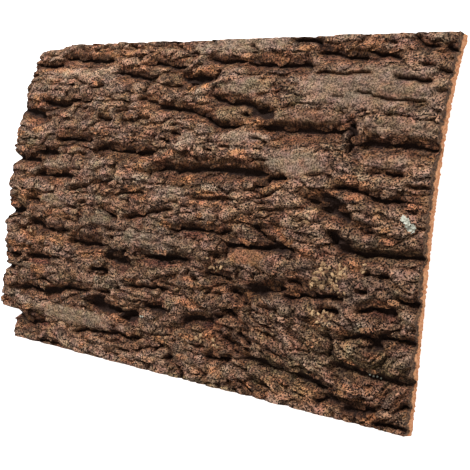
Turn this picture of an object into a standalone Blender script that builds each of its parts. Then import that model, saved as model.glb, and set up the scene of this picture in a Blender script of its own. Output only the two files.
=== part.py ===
"""A panel of thick furrowed bark, sawn roughly square, as one solid.

The bark lies on its hollow back with the grain along X. Its outer face is a sheet that is
raised and cut by formula: an arch across the grain, clods and strands from seeded noise,
furrows along hand-placed paths, each with a rolled lip above it and a slope below, and
hand-placed calm plates and hollows. A saw then trims the blank to its flat back edges, its
two long edges and its right end. The left end is a natural break and keeps its ragged line.
"""

import math

import bmesh
import bpy
import numpy as np

MM = 0.001

# Size of the panel, in millimetres
HALF_LENGTH = 300.0
HALF_WIDTH = 200.0
RIDGE_THICKNESS = 17.0
LEAST_THICKNESS = 3.5

# The back is arched across the grain, steeper towards the top edge, between two flat feet
ARCH_RISE = 19.8
ARCH_LEAN = 0.70
FOOT_WIDTH = 10.0
FOOT_STEP = 4.0
ARCH_FACETS = 16

# The saw leaves this much of the blank on each side, and cuts above and below it
SAW_MARGIN = 6.0
BLANK_DEPTH = 12.0
SAW_HEIGHT = 90.0

# Cells of the sheet that carries the relief, longer along the grain than across it
SHEET_COLUMNS = 52
SHEET_ROWS = 98

# High parts of the relief lean down over the furrow below them
OVERHANG = 0.20
OVERHANG_LEVEL = 12.0
OVERHANG_FADE = 14.0

# Clods: their length and width, and how much they differ in height, bulge and tilt
CLOD_LENGTH = 27.0
CLOD_WIDTH = 12.0
CLOD_STEP = 2.6
CLOD_BULGE = 1.8
CLOD_TILT = 1.8

# Gullies between strands, wide and narrow: their length, width and depth
BRAID = (55.0, 19.0, 3.0)
STRAND = (26.0, 10.0, 1.2)

# Waves by their length, width and height: a long swell under everything, and how the grain
# and the furrows wind along and across
SWELL = (110.0, 30.0, 1.5)
GRAIN_ALONG = (60.0, 30.0, 8.0)
GRAIN_ACROSS = (48.0, 24.0, 5.0)
GRAIN_WOBBLE = (17.0, 10.0, 2.8)
FURROW_ALONG = (14.0, 7.0, 2.2)
FURROW_ACROSS = (11.0, 9.0, 1.4)
RIM_FRAY = (9.0, 5.0, 0.2)

# The strips of the lower right part run down to the right by this much of their length.
# That part starts at this x and y, over a margin along and across
LEAN = 0.35
LEAN_START = (40.0, -60.0)
LEAN_MARGIN = (60.0, 40.0)
LEAN_PIVOT = 130.0

# A furrow is this much deeper than its table entry. Its lip is a roll this much wider than
# its table entry, with a brow that stands up, and its rims round off
FURROW_GAIN = 1.45
ROLL_WIDTH = 1.6
BROW_RISE = 0.08
FURROW_DOME = 0.38
DOME_REACH = 1.8
DOME_MARGIN = 6.0

# The broken left end: (y, x) points of its line, and how far its rim rounds down
LEFT_END = (
    (-206, -264), (-188, -262), (-177, -270), (-169, -262), (-164, -266), (-161, -296),
    (-150, -300), (-120, -299), (-107, -293), (-98, -298), (-85, -301), (-60, -299),
    (-47, -301), (-33, -291), (-20, -298), (-8, -295), (2, -301), (30, -300), (38, -289),
    (46, -297), (80, -301), (88, -297), (112, -298), (150, -301), (206, -299),
)
LEFT_RIM_WIDTH = 9.0
LEFT_RIM_DROP = 3.0

# The corner at the top left is broken low: (x, drop) points, from CORNER_START upwards
CORNER_DROP = ((-300, 9.0), (-270, 6.0), (-240, 1.0), (-200, 0.0))
CORNER_START = 120.0
CORNER_FADE = 80.0

# How much of the clods is lost on calm plates and on rolled walls, and the hollows' depth
CALM_LOSS = 0.8
WALL_LOSS = 0.5
HOLLOW_DEPTH = 4.5

# Calm plates, broad and hardly broken up:
# (x, y, half length, half width, turn in degrees, strength)
CALM_ZONES = (
    (215, 140, 80, 24, 0, 1.0), (145, 55, 42, 14, 0, 1.0), (60, 140, 34, 10, 0, 0.8),
    (75, 82, 34, 7, 0, 0.8), (40, 191, 75, 8, 0, 0.7), (-220, 158, 42, 7, 0, 0.7),
    (-155, -155, 75, 10, 0, 0.9), (-210, 32, 30, 7, 0, 0.6), (-210, -12, 26, 8, 0, 0.7),
    (-45, -46, 45, 8, 0, 0.6), (100, -50, 26, 9, 0, 1.0), (-122, -30, 16, 7, 0, 0.6),
    (-5, 76, 14, 7, 0, 0.8), (-20, 12, 24, 8, 0, 0.5), (150, 105, 55, 9, 0, 0.7),
    (255, 98, 45, 10, 0, 0.7), (255, 62, 40, 9, 0, 0.6),
)

# Hollows where the bark has broken out under a furrow's lip, given the same way
HOLLOWS = (
    (-96, -73, 20, 11, -8, 1.0), (-106, -135, 29, 8, -4, 0.9), (-66, -144, 15, 8, 0, 0.8),
    (92, 110, 15, 9, 0, 0.9), (-12, 151, 20, 9, 0, 0.7), (198, 14, 27, 8, -35, 0.9),
    (-234, 51, 17, 8, 0, 0.7), (112, -90, 20, 8, 0, 0.8), (44, -131, 29, 8, 0, 0.5),
    (138, -38, 25, 7, 0, 0.6), (-216, -88, 22, 5, 0, 0.7), (-265, 100, 29, 7, -15, 0.6),
    (-288, -31, 18, 7, 0, 0.7), (-60, 112, 16, 5, 0, 0.5), (-232, 20, 13, 5, 0, 0.6),
    (-30, -126, 22, 7, 0, 0.6), (232, -148, 38, 7, 0, 0.6), (262, -86, 25, 7, 0, 0.6),
    (206, -20, 13, 11, -60, 0.8), (-210, -131, 27, 5, 0, 0.5), (80, 42, 34, 7, 0, 0.5),
    (-20, -65, 29, 5, 0, 0.5), (84, -151, 18, 7, -40, 0.6), (206, 92, 6, 19, 0, 0.6),
)

# Deep furrows: (depth, width of the steep lip, width of the slope, path of (x, y) points)
FURROWS = (
    # along the top edge
    (9, 9, 10, ((-250, 186), (-218, 178), (-196, 175), (-152, 175))),
    (8, 7, 8, ((-296, 180), (-268, 172), (-250, 171), (-238, 167))),
    (8, 8, 7, ((-96, 169), (-64, 168), (-52, 164), (-28, 167))),
    (9, 8, 9, ((-4, 173), (22, 170), (56, 173), (66, 166), (116, 165), (146, 163))),
    (8, 6, 6, ((104, 198), (132, 196), (146, 186), (156, 184))),
    (9, 9, 8, ((142, 178), (182, 174), (216, 174), (248, 172))),
    (8, 5, 6, ((286, 188), (292, 180), (320, 177))),
    # second row
    (8, 8, 7, ((-141, 159), (-116, 154), (-88, 150), (-68, 152))),
    (10, 9, 7, ((-36, 156), (-30, 150), (-16, 148), (16, 149))),
    (6, 4, 4, ((238, 152), (262, 148), (284, 147))),
    # third row
    (9, 8, 6, ((-261, 120), (-244, 114), (-221, 112), (-204, 116), (-166, 121))),
    (9, 8, 8, ((-320, 116), (-297, 105), (-260, 99), (-248, 93))),
    (9, 7, 6, ((-60, 112), (-21, 111), (12, 104), (40, 91), (71, 97))),
    (10, 8, 6, ((16, 128), (44, 120), (74, 116), (86, 110), (104, 108))),
    # fourth row
    (11, 8, 9, ((88, 92), (135, 91), (201, 93))),
    (7, 4, 4, ((202, 107), (203, 98), (207, 90), (205, 82), (207, 75), (204, 68))),
    (11, 7, 9, ((208, 80), (266, 80), (320, 78))),
    (8, 9, 8, ((-221, 67), (-194, 69), (-152, 67))),
    (8, 9, 7, ((-148, 57), (-108, 58), (-77, 56), (-48, 59))),
    (7, 6, 5, ((-249, 52), (-227, 50), (-213, 49))),
    # middle row
    (10, 10, 8, ((-57, 32), (-36, 40), (-15, 36), (16, 41), (74, 42), (118, 42))),
    (10, 7, 7, ((-320, 39), (-264, 38), (-244, 34))),
    (10, 6, 6, ((-247, 19), (-204, 21), (-177, 17))),
    (7, 5, 5, ((92, 25), (116, 37), (138, 40))),
    (7, 5, 5, ((188, 33), (214, 34), (249, 24), (275, 24))),
    (11, 8, 7, ((159, 21), (190, 9), (205, 6), (217, -3))),
    # below the middle
    (9, 6, 6, ((191, -12), (204, -28), (236, -32), (266, -31), (320, -28))),
    (8, 6, 7, ((-320, -33), (-288, -32), (-262, -27))),
    (7, 5, 5, ((-130, -15), (-112, -22), (-96, -27))),
    (7, 5, 8, ((-19, -31), (14, -28), (44, -26), (76, -24))),
    (8, 5, 5, ((64, -36), (70, -41), (112, -38), (153, -36))),
    (9, 6, 6, ((-256, -41), (-236, -45), (-218, -50), (-180, -49))),
    (9, 5, 6, ((-254, -85), (-233, -90), (-211, -88))),
    (9, 10, 8, ((-180, -61), (-153, -63), (-111, -59))),
    (10, 6, 12, ((-111, -73), (-93, -76), (-69, -81))),
    (7, 6, 6, ((-62, -63), (-46, -67), (-6, -63), (22, -63))),
    (8, 7, 7, ((39, -74), (54, -75), (82, -76))),
    (10, 6, 6, ((76, -91), (91, -93), (102, -104))),
    (9, 8, 6, ((104, -88), (140, -80), (155, -77))),
    (8, 5, 6, ((145, -85), (175, -81), (221, -79))),
    (10, 7, 7, ((231, -89), (251, -84), (279, -84))),
    (9, 5, 5, ((274, -70), (284, -72), (320, -72))),
    # eighth row
    (9, 5, 5, ((216, -119), (246, -113), (254, -114), (268, -121))),
    (8, 5, 5, ((254, -110), (320, -110))),
    (11, 7, 7, ((206, -147), (266, -151), (320, -149))),
    (9, 6, 8, ((-280, -138), (-244, -130), (-213, -134), (-183, -124), (-133, -120))),
    (7, 5, 5, ((-320, -106), (-284, -109), (-276, -107))),
    (11, 6, 7, ((-138, -135), (-100, -136), (-79, -136))),
    (10, 5, 5, ((-78, -143), (-66, -141), (-48, -137))),
    (10, 6, 5, ((-44, -129), (-36, -124), (-11, -126))),
    (7, 5, 12, ((14, -142), (26, -128), (46, -124), (62, -132), (74, -141))),
    (9, 5, 5, ((92, -132), (107, -143), (112, -144))),
    (8, 5, 5, ((74, -139), (94, -159))),
    # along the bottom edge
    (9, 6, 7, ((94, -164), (129, -161), (171, -166), (211, -171))),
    (8, 6, 5, ((47, -168), (79, -167), (91, -161))),
    (7, 4, 4, ((-6, -181), (9, -181), (22, -208))),
    (10, 6, 6, ((-270, -166), (-248, -178), (-203, -170))),
    (6, 4, 4, ((-163, -175), (-136, -169), (-83, -165), (-34, -161))),
    (7, 4, 5, ((196, -191), (208, -182), (220, -188), (268, -184))),
    (7, 4, 4, ((258, -195), (320, -194))),
    (7, 5, 5, ((286, -179), (293, -173), (320, -175))),
)

BARK_COLOUR = (0.105, 0.062, 0.040, 1.0)
BARK_ROUGHNESS = 0.9


def lattice(column, row, seed):
    """A fixed random number from 0 to 1 for each whole-number point of a plane."""
    n = (column * 73856093) ^ (row * 19349663) ^ (seed * 83492791)
    n = (n ^ (n >> 13)) * 1274126177
    n = n ^ (n >> 16)
    return (n & 0xFFFFFF) / float(0xFFFFFF)


def noise(x, y, seed):
    """Smooth noise from about -1 to 1, with one random slope at each whole-number point."""
    column = np.floor(x).astype(np.int64)
    row = np.floor(y).astype(np.int64)
    fx, fy = x - column, y - row
    blend_x = fx ** 3 * (fx * (fx * 6 - 15) + 10)
    blend_y = fy ** 3 * (fy * (fy * 6 - 15) + 10)
    corners = []
    for cx, cy in ((0, 0), (1, 0), (0, 1), (1, 1)):
        turn = 2 * np.pi * lattice(column + cx, row + cy, seed)
        corners.append(np.cos(turn) * (fx - cx) + np.sin(turn) * (fy - cy))
    low = corners[0] + blend_x * (corners[1] - corners[0])
    high = corners[2] + blend_x * (corners[3] - corners[2])
    return 1.5 * (low + blend_y * (high - low))


def clods(x, y, seed):
    """Irregular cells: how far inside its cell a point is, a random number of the cell, and
    the point's place across it."""
    column = np.floor(x).astype(np.int64)
    row = np.floor(y).astype(np.int64)
    first = np.full(x.shape, 9.0)
    second = np.full(x.shape, 9.0)
    pick = np.zeros(x.shape)
    across = np.zeros(x.shape)
    for cx in (-1, 0, 1):
        for cy in (-1, 0, 1):
            px = column + cx + 0.15 + 0.7 * lattice(column + cx, row + cy, seed)
            py = row + cy + 0.15 + 0.7 * lattice(column + cx, row + cy, seed + 1)
            far = np.hypot(x - px, y - py)
            closer = far < first
            second = np.where(closer, first, np.minimum(second, far))
            pick = np.where(closer, lattice(column + cx, row + cy, seed + 2), pick)
            across = np.where(closer, y - py, across)
            first = np.where(closer, far, first)
    return second - first, pick, across


def smooth(t):
    """Rise from 0 to 1 with level ends."""
    t = np.clip(t, 0.0, 1.0)
    return t * t * (3 - 2 * t)


def nearest_on_path(x, y, path):
    """Distance to a path, the side of it (above is positive), and the length run along it."""
    points = np.array(path, float)
    best = np.full(x.shape, 1e9)
    side = np.zeros(x.shape)
    along = np.zeros(x.shape)
    run = 0.0
    for start, end in zip(points[:-1], points[1:]):
        step = np.hypot(*(end - start))
        ux, uy = (end - start) / step
        s = np.clip((x - start[0]) * ux + (y - start[1]) * uy, 0, step)
        dx = x - start[0] - s * ux
        dy = y - start[1] - s * uy
        far = np.hypot(dx, dy)
        closer = far < best
        best = np.where(closer, far, best)
        side = np.where(closer, ux * dy - uy * dx, side)
        along = np.where(closer, run + s, along)
        run += step
    return best, side, along, run


def wave(x, y, size, seed):
    """Noise of the given length, width and height."""
    length, width, height = size
    return height * noise(x / length, y / width, seed)


def zone(x, y, ellipses):
    """How far each point lies in an ellipse of a list, from 0 to 1. It is full inside and
    gone a little past the rim, which noise frays. The strongest ellipse wins."""
    frayed = wave(x, y, RIM_FRAY, 401)
    strongest = np.zeros(x.shape)
    for middle_x, middle_y, half_length, half_width, turn, strength in ellipses:
        ca = math.cos(math.radians(turn))
        sa = math.sin(math.radians(turn))
        along = ((x - middle_x) * ca + (y - middle_y) * sa) / half_length
        across = ((y - middle_y) * ca - (x - middle_x) * sa) / half_width
        inside = smooth((1.25 - np.hypot(along, across) + frayed) / 0.6)
        strongest = np.maximum(strongest, strength * inside)
    return strongest


def furrow_depth(x, y):
    """Depth below the ridges, the deepest of the furrows that reach a point, and how far
    the point lies on a rolled wall.

    Above its path each has a lip like a quarter of a log with a raised brow, below it a
    slope. A wide dome rounds the ridges on both sides, and the ends run out.
    """
    depth = np.zeros(x.shape)
    wall = np.zeros(x.shape)
    wavy_x = x + wave(x, y, FURROW_ALONG, 301)
    wavy_y = y + wave(x, y, FURROW_ACROSS, 302)
    for deepest, lip, slope, path in FURROWS:
        best, side, along, length = nearest_on_path(wavy_x, wavy_y, path)
        width = np.where(side > 0, ROLL_WIDTH * lip, slope)
        out = np.clip(best / width, 0, 1)
        steep = np.where(side > 0, 1 - np.sqrt(out * (2 - out)), (1 - out) ** 1.5)
        brow = BROW_RISE * smooth(1 - np.abs(best / width - 1.1) / 0.8) * (side > 0)
        dome = smooth(1 - best / (DOME_REACH * width + DOME_MARGIN))
        ends = smooth(np.minimum(along, length - along) / (0.18 * length + 2) + 0.25)
        fall = (1 - FURROW_DOME) * steep + FURROW_DOME * dome - brow
        fall = FURROW_GAIN * deepest * ends * fall
        depth = np.where(fall < 0, depth + fall, np.maximum(depth, fall))
        strength = np.clip(deepest / 8, 0, 1) * ends
        rolled = strength * smooth(1.1 - best / width) * smooth(side / 3 + 0.5)
        wall = np.maximum(wall, rolled)
    return depth, wall


def left_end(y):
    """The x of the broken left end, ragged between the points of its line."""
    ys, xs = np.array(LEFT_END, float).T
    line = np.interp(y, ys, xs)
    return line + 1.5 * noise(y / 5, 3 + 0 * y, 71) + 2.0 * noise(y / 14, 5 + 0 * y, 72)


def arch(y):
    """Height of the back across the grain, zero at both edges."""
    k = np.clip(y / HALF_WIDTH, -1, 1)
    return ARCH_RISE * (1 - k * k) * (1 + ARCH_LEAN * k)


def gully(x, y, size, seed):
    """Depth of the gullies that run wherever a noise of the given size crosses zero."""
    length, width, depth = size
    return depth * np.clip(1 - np.abs(noise(x / length, y / width, seed)) / 0.42, 0, 1) ** 1.3


def thickness(x, y, end):
    """Thickness of the bark: clods and strands from noise drawn out along the grain, fainter
    on calm plates and rolled walls, less the furrows and hollows, rounded down at the broken
    end and never thinner than the least."""
    furrows, wall = furrow_depth(x, y)
    calm = zone(x, y, CALM_ZONES)
    lower_right = smooth((x - LEAN_START[0]) / LEAN_MARGIN[0])
    lower_right = lower_right * smooth((LEAN_START[1] - y) / LEAN_MARGIN[1])
    lower_right = lower_right * smooth((HALF_LENGTH - x) / LEAN_MARGIN[0])
    grain_x = x + wave(x, y, GRAIN_ALONG, 11)
    grain_y = y + wave(x, y, GRAIN_ACROSS, 12) + wave(x, y, GRAIN_WOBBLE, 13)
    grain_y = grain_y + LEAN * lower_right * (x - LEAN_PIVOT)
    inside, pick, across = clods(grain_x / CLOD_LENGTH, grain_y / CLOD_WIDTH, 21)
    raised = CLOD_STEP * (pick - 0.5) + CLOD_BULGE * smooth(inside / 0.5) - CLOD_TILT * across
    raised = raised - gully(grain_x, grain_y, BRAID, 61) - gully(grain_x, grain_y, STRAND, 62) - 1
    hold = 1 - 0.35 * np.clip(furrows / 10, 0, 1)
    hold = hold * (1 - CALM_LOSS * calm) * (1 - WALL_LOSS * wall)
    t = RIDGE_THICKNESS + wave(x, y, SWELL, 41) + hold * raised - furrows
    t = t - HOLLOW_DEPTH * zone(grain_x, grain_y, HOLLOWS)
    rim = 1 - smooth((x - end) / LEFT_RIM_WIDTH + 0.1)
    t = t - LEFT_RIM_DROP * rim * smooth((t - 4) / 8)
    return LEAST_THICKNESS + np.logaddexp(0, 1.2 * (t - LEAST_THICKNESS)) / 1.2


def shape_sheet(mesh):
    """Move a flat sheet, from -1 to 1 each way, onto the outer face of the bark."""
    flat = np.empty(len(mesh.vertices) * 3, np.float32)
    mesh.vertices.foreach_get("co", flat)
    across, up = flat.reshape(-1, 3)[:, :2].astype(float).T
    y = up * (HALF_WIDTH + SAW_MARGIN)
    end = left_end(y)
    right = HALF_LENGTH + SAW_MARGIN
    x = end + (right - end) * (across + 1) / 2
    t = thickness(x, y, end)
    z = arch(y) + t
    fade = smooth((HALF_WIDTH - np.abs(y)) / OVERHANG_FADE)
    y = y - OVERHANG * fade * (t - OVERHANG_LEVEL)
    drop_at, drop = np.array(CORNER_DROP, float).T
    y = y - np.interp(x, drop_at, drop) * smooth((y - CORNER_START) / CORNER_FADE)
    placed = np.stack([x, y, z], axis=1) * MM
    mesh.vertices.foreach_set("co", placed.astype(np.float32).ravel())


def make_blank(name, collection):
    """The bark before it is trimmed: the shaped sheet, closed below by walls and a flat."""
    mesh = bpy.data.meshes.new(name)
    sheet = bmesh.new()
    bmesh.ops.create_grid(sheet, x_segments=SHEET_COLUMNS, y_segments=SHEET_ROWS, size=1)
    sheet.to_mesh(mesh)
    sheet.free()
    shape_sheet(mesh)
    solid = bmesh.new()
    solid.from_mesh(mesh)
    rim = [edge for edge in solid.edges if edge.is_boundary]
    made = bmesh.ops.extrude_edge_only(solid, edges=rim)["geom"]
    lower = [item for item in made if isinstance(item, bmesh.types.BMVert)]
    for vertex in lower:
        vertex.co.z = -BLANK_DEPTH * MM
    loop = [item for item in made if isinstance(item, bmesh.types.BMEdge) and item.is_boundary]
    bmesh.ops.contextual_create(solid, geom=loop)
    bmesh.ops.recalc_face_normals(solid, faces=solid.faces)
    solid.to_mesh(mesh)
    solid.free()
    blank = bpy.data.objects.new(name, mesh)
    collection.objects.link(blank)
    return blank


def saw_profile():
    """(y, z) points round the sawn section: feet, arched back, long edges and open top."""
    inner = HALF_WIDTH - FOOT_WIDTH
    start = inner - FOOT_STEP
    back = [(y, float(arch(y))) for y in np.linspace(start, -start, ARCH_FACETS + 1)]
    right_side = [(HALF_WIDTH, SAW_HEIGHT), (HALF_WIDTH, 0.0), (inner, 0.0)]
    left_side = [(-inner, 0.0), (-HALF_WIDTH, 0.0), (-HALF_WIDTH, SAW_HEIGHT)]
    return right_side + back + left_side


def make_saw_cut(name, collection):
    """The space that the saw leaves, as a prism along the grain."""
    prism = bmesh.new()
    corners = [prism.verts.new((-HALF_LENGTH * MM, y * MM, z * MM)) for y, z in saw_profile()]
    section = prism.faces.new(corners)
    made = bmesh.ops.extrude_face_region(prism, geom=[section])["geom"]
    moved = [item for item in made if isinstance(item, bmesh.types.BMVert)]
    bmesh.ops.translate(prism, vec=(2 * HALF_LENGTH * MM, 0, 0), verts=moved)
    bmesh.ops.recalc_face_normals(prism, faces=prism.faces)
    mesh = bpy.data.meshes.new(name)
    prism.to_mesh(mesh)
    prism.free()
    cut = bpy.data.objects.new(name, mesh)
    cut.hide_render = True
    cut.display_type = "WIRE"
    collection.objects.link(cut)
    return cut


def bark_material():
    """Dull brown bark, without any gloss."""
    material = bpy.data.materials.new("furrowed_bark")
    material.use_nodes = True
    shader = material.node_tree.nodes["Principled BSDF"]
    shader.inputs["Base Color"].default_value = BARK_COLOUR
    shader.inputs["Roughness"].default_value = BARK_ROUGHNESS
    shader.inputs["Metallic"].default_value = 0.0
    return material


def new_collection(name):
    """A collection of the scene's own."""
    collection = bpy.data.collections.new(name)
    bpy.context.scene.collection.children.link(collection)
    return collection


def main():
    for item in list(bpy.data.objects):
        bpy.data.objects.remove(item)
    parts = new_collection("coffee_wood_bark_panel")
    cutters = new_collection("cutters")

    panel = make_blank("bark_panel", parts)
    panel.data.materials.append(bark_material())

    trim = panel.modifiers.new("saw", "BOOLEAN")
    trim.operation = "INTERSECT"
    trim.solver = "EXACT"
    trim.object = make_saw_cut("saw_cut", cutters)


main()
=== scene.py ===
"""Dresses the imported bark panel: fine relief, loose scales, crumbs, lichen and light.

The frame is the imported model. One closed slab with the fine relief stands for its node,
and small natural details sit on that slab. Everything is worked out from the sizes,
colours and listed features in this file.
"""

import math

import bpy
import numpy as np
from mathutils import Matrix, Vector


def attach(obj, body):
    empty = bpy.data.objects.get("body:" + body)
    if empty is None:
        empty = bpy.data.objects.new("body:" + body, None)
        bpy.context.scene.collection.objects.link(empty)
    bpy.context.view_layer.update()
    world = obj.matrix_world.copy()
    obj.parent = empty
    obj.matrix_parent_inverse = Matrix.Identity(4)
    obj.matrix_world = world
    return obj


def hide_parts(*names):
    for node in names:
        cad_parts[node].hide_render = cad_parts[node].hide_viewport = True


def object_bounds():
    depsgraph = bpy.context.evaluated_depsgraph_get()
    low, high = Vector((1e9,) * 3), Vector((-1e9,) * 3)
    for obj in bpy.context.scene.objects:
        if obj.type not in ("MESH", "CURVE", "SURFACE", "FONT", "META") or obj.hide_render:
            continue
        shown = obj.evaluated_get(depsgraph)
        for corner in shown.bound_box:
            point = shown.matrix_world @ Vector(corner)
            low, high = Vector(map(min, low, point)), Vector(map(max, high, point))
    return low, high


bl_info = {
    "name": "Bark Panel",
    "version": (1, 0, 0),
    "blender": (4, 5, 0),
    "location": "View3D > Sidebar > Bark Panel",
    "description": "Fine relief, finishes and studio for a panel of furrowed bark",
    "category": "Object",
}

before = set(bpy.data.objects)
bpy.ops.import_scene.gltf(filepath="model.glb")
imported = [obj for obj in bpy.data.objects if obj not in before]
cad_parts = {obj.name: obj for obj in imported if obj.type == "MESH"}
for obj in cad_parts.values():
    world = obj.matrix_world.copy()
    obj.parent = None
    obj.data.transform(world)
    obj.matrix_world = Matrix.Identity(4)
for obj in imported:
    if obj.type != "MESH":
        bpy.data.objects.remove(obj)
CAD_BOX = [list(corner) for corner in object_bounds()]

MM = 0.001
BODY = "root"
NODE = "bark_panel"

# The panel's own size as the frame has it. All lengths here are in millimetres.
HALF_LENGTH = round((CAD_BOX[1][0] - CAD_BOX[0][0]) / 2 / MM, 1)
HALF_WIDTH = round((CAD_BOX[1][1] - CAD_BOX[0][1]) / 2 / MM, 1)
TALLEST = CAD_BOX[1][2] / MM

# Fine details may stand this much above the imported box, and are held softly below it
CEILING = TALLEST + 0.9
CEILING_SHARPNESS = 3

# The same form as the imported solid: arch of the back, its feet, and the lean of the ridges
ARCH_RISE = 19.8
ARCH_LEAN = 0.70
FOOT_WIDTH = 10.0
FOOT_STEP = 4.0
OVERHANG = 0.20
OVERHANG_LEVEL = 12.0
OVERHANG_FADE = 14.0
LEAST_THICKNESS = 3.5
THICKNESS_SHARPNESS = 1.2

# Waves: (size along the grain, size across it, height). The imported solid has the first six.
SWELL = (110.0, 30.0, 1.5)
GRAIN_ALONG = (60.0, 30.0, 8.0)
GRAIN_ACROSS = (48.0, 24.0, 5.0)
GRAIN_WOBBLE = (17.0, 10.0, 2.8)
FURROW_ALONG = (14.0, 7.0, 2.2)
FURROW_ACROSS = (11.0, 9.0, 1.4)
FINE_ALONG = (14.0, 9.0, 3.0)
FINE_ACROSS = (6.0, 4.5, 1.2)
FURROW_FINE = (4.0, 3.5, 0.7)
RIM_COARSE = (9.0, 5.0, 1.0)
RIM_FINE = (3.5, 2.2, 0.7)
NUB = (5.0, 4.0, 1.0)
FLUTE_FINE = (2.2, 18.0, 0.7)
FLUTE_COARSE = (5.5, 22.0, 0.6)
GRANULE_FINE = (2.6, 2.4, 0.1)
GRANULE_COARSE = (5.2, 4.4, 0.2)
CRUMBLY_PATCHES = (50.0, 30.0, 1.0)
GAP_PATCHES = (31.0, 17.0, 1.6)
CHINK_PATCHES = (13.0, 9.0, 1.8)
BACK_RIPPLE = (70.0, 9.0, 0.7)
BACK_RIPPLE_FINE = (24.0, 6.0, 0.5)

# Gullies between the strands of bark: (length, width, depth)
BRAID = (55.0, 19.0, 3.0)
STRAND = (26.0, 10.0, 1.2)
STRIP = (45.0, 7.0, 2.6)
GULLY_WIDTH = 0.42
GULLY_POWER = 1.3

# Clods and the flakes on them: size of a cell, step between cells, bulge, and tilt
CLOD_LENGTH = 27.0
CLOD_WIDTH = 12.0
CLOD_STEP = 2.6
CLOD_BULGE = 1.8
CLOD_BULGE_REACH = 0.5
CLOD_TILT = 1.8
FLAKE_LENGTH = 12.0
FLAKE_WIDTH = 6.0
FLAKE_STEP = 0.6
FLAKE_BULGE = 0.3
FLAKE_BULGE_REACH = 0.3
FLAKE_TILT = 0.5
NUB_STEP = 0.2
NUB_POWER = 0.6

# Openings: gaps between clods and chinks between flakes have a width in parts of a cell
GAP_WIDTH = 0.13
GAP_DEPTH = 2.2
CHINK_WIDTH = 0.17
CHINK_DEPTH = 0.6
SLIT_DEPTH = 2.6
HOLLOW_DEPTH = 4.5

# Where relief is fainter: on calm zones, on furrow walls, and deep in a furrow
CALM_LOSS = 0.8
CALM_CHINK_LOSS = 0.7
CALM_GRANULE_LOSS = 0.3
WALL_LOSS = 0.5
WALL_FLAKE_LOSS = 0.6
DEPTH_LOSS = 0.35
DEPTH_FULL = 10.0
LEAST_CRUMBLY = 0.45

# Furrows: their rolled upper side, brow and wide dome, and how their marks spread
FURROW_GAIN = 1.45
FURROW_DOME = 0.38
ROLL_WIDTH = 1.6
SLOPE_POWER = 1.5
BROW_RISE = 0.08
BROW_PLACE = 1.1
BROW_WIDTH = 0.8
DOME_REACH = 1.8
DOME_MARGIN = 6.0
PATH_MARGIN = 4.0
RUN_OUT = (0.18, 2.0, 0.25)
FULL_STRENGTH = 8.0
SLIT_WIDTH = (1.4, 0.2)
SHADE_WIDTH = (1.0, 0.5)

# The lower right, where the grain leans and splits into strips
LEAN = 0.35
LEAN_START = (40.0, -60.0)
LEAN_MARGIN = (60.0, 40.0)
LEAN_PIVOT = 130.0

# Broken top left corner, rim of the broken left end, and wear along the long edges
CORNER_DROP = ((-300, 9.0), (-270, 6.0), (-240, 1.0), (-200, 0.0))
CORNER_START = 120.0
CORNER_FADE = 80.0
LEFT_RIM_WIDTH = 9.0
LEFT_RIM_DROP = 3.0
LEFT_RIM_LEAST = 4.0
LEFT_RIM_FULL = 8.0
EDGE_WEAR = 0.8
EDGE_WEAR_WIDTH = 3.0

# The broken left end: (y, x) points of its line
LEFT_END = (
    (-206, -264), (-195, -266), (-188, -264), (-177, -270), (-169, -263), (-164, -268),
    (-161, -296), (-150, -299), (-120, -298), (-107, -293), (-98, -297), (-85, -300),
    (-60, -299), (-47, -300), (-33, -292), (-20, -297), (-8, -295), (2, -300), (30, -299),
    (38, -289), (46, -297), (60, -299), (80, -300), (88, -297), (100, -299), (112, -297),
    (125, -300), (185, -300), (206, -298),
)

# How much painted shade darkens the bark in each opening, and the heights that count as low and high
SLIT_PAINTED_SHADE = 0.6
SHADE_DARK = 0.45
HOLLOW_PAINTED_SHADE = 0.95
GAP_PAINTED_SHADE = 0.7
CHINK_PAINTED_SHADE = 0.3
LOW_FACE = 9.0
HIGH_FACE = 18.0

# The sawn right end leans: its face is set back this much at the outer side of the bark
SAW_LEAN = 2.6

# Cells of the fine slab: the back is COARSER times coarser each way
COLUMNS = 352
ROWS = 244
COARSER = 4
WALL_BANDS = 3
BACK_INSET = 3.0
BACK_RIPPLE_START = 4.0


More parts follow.
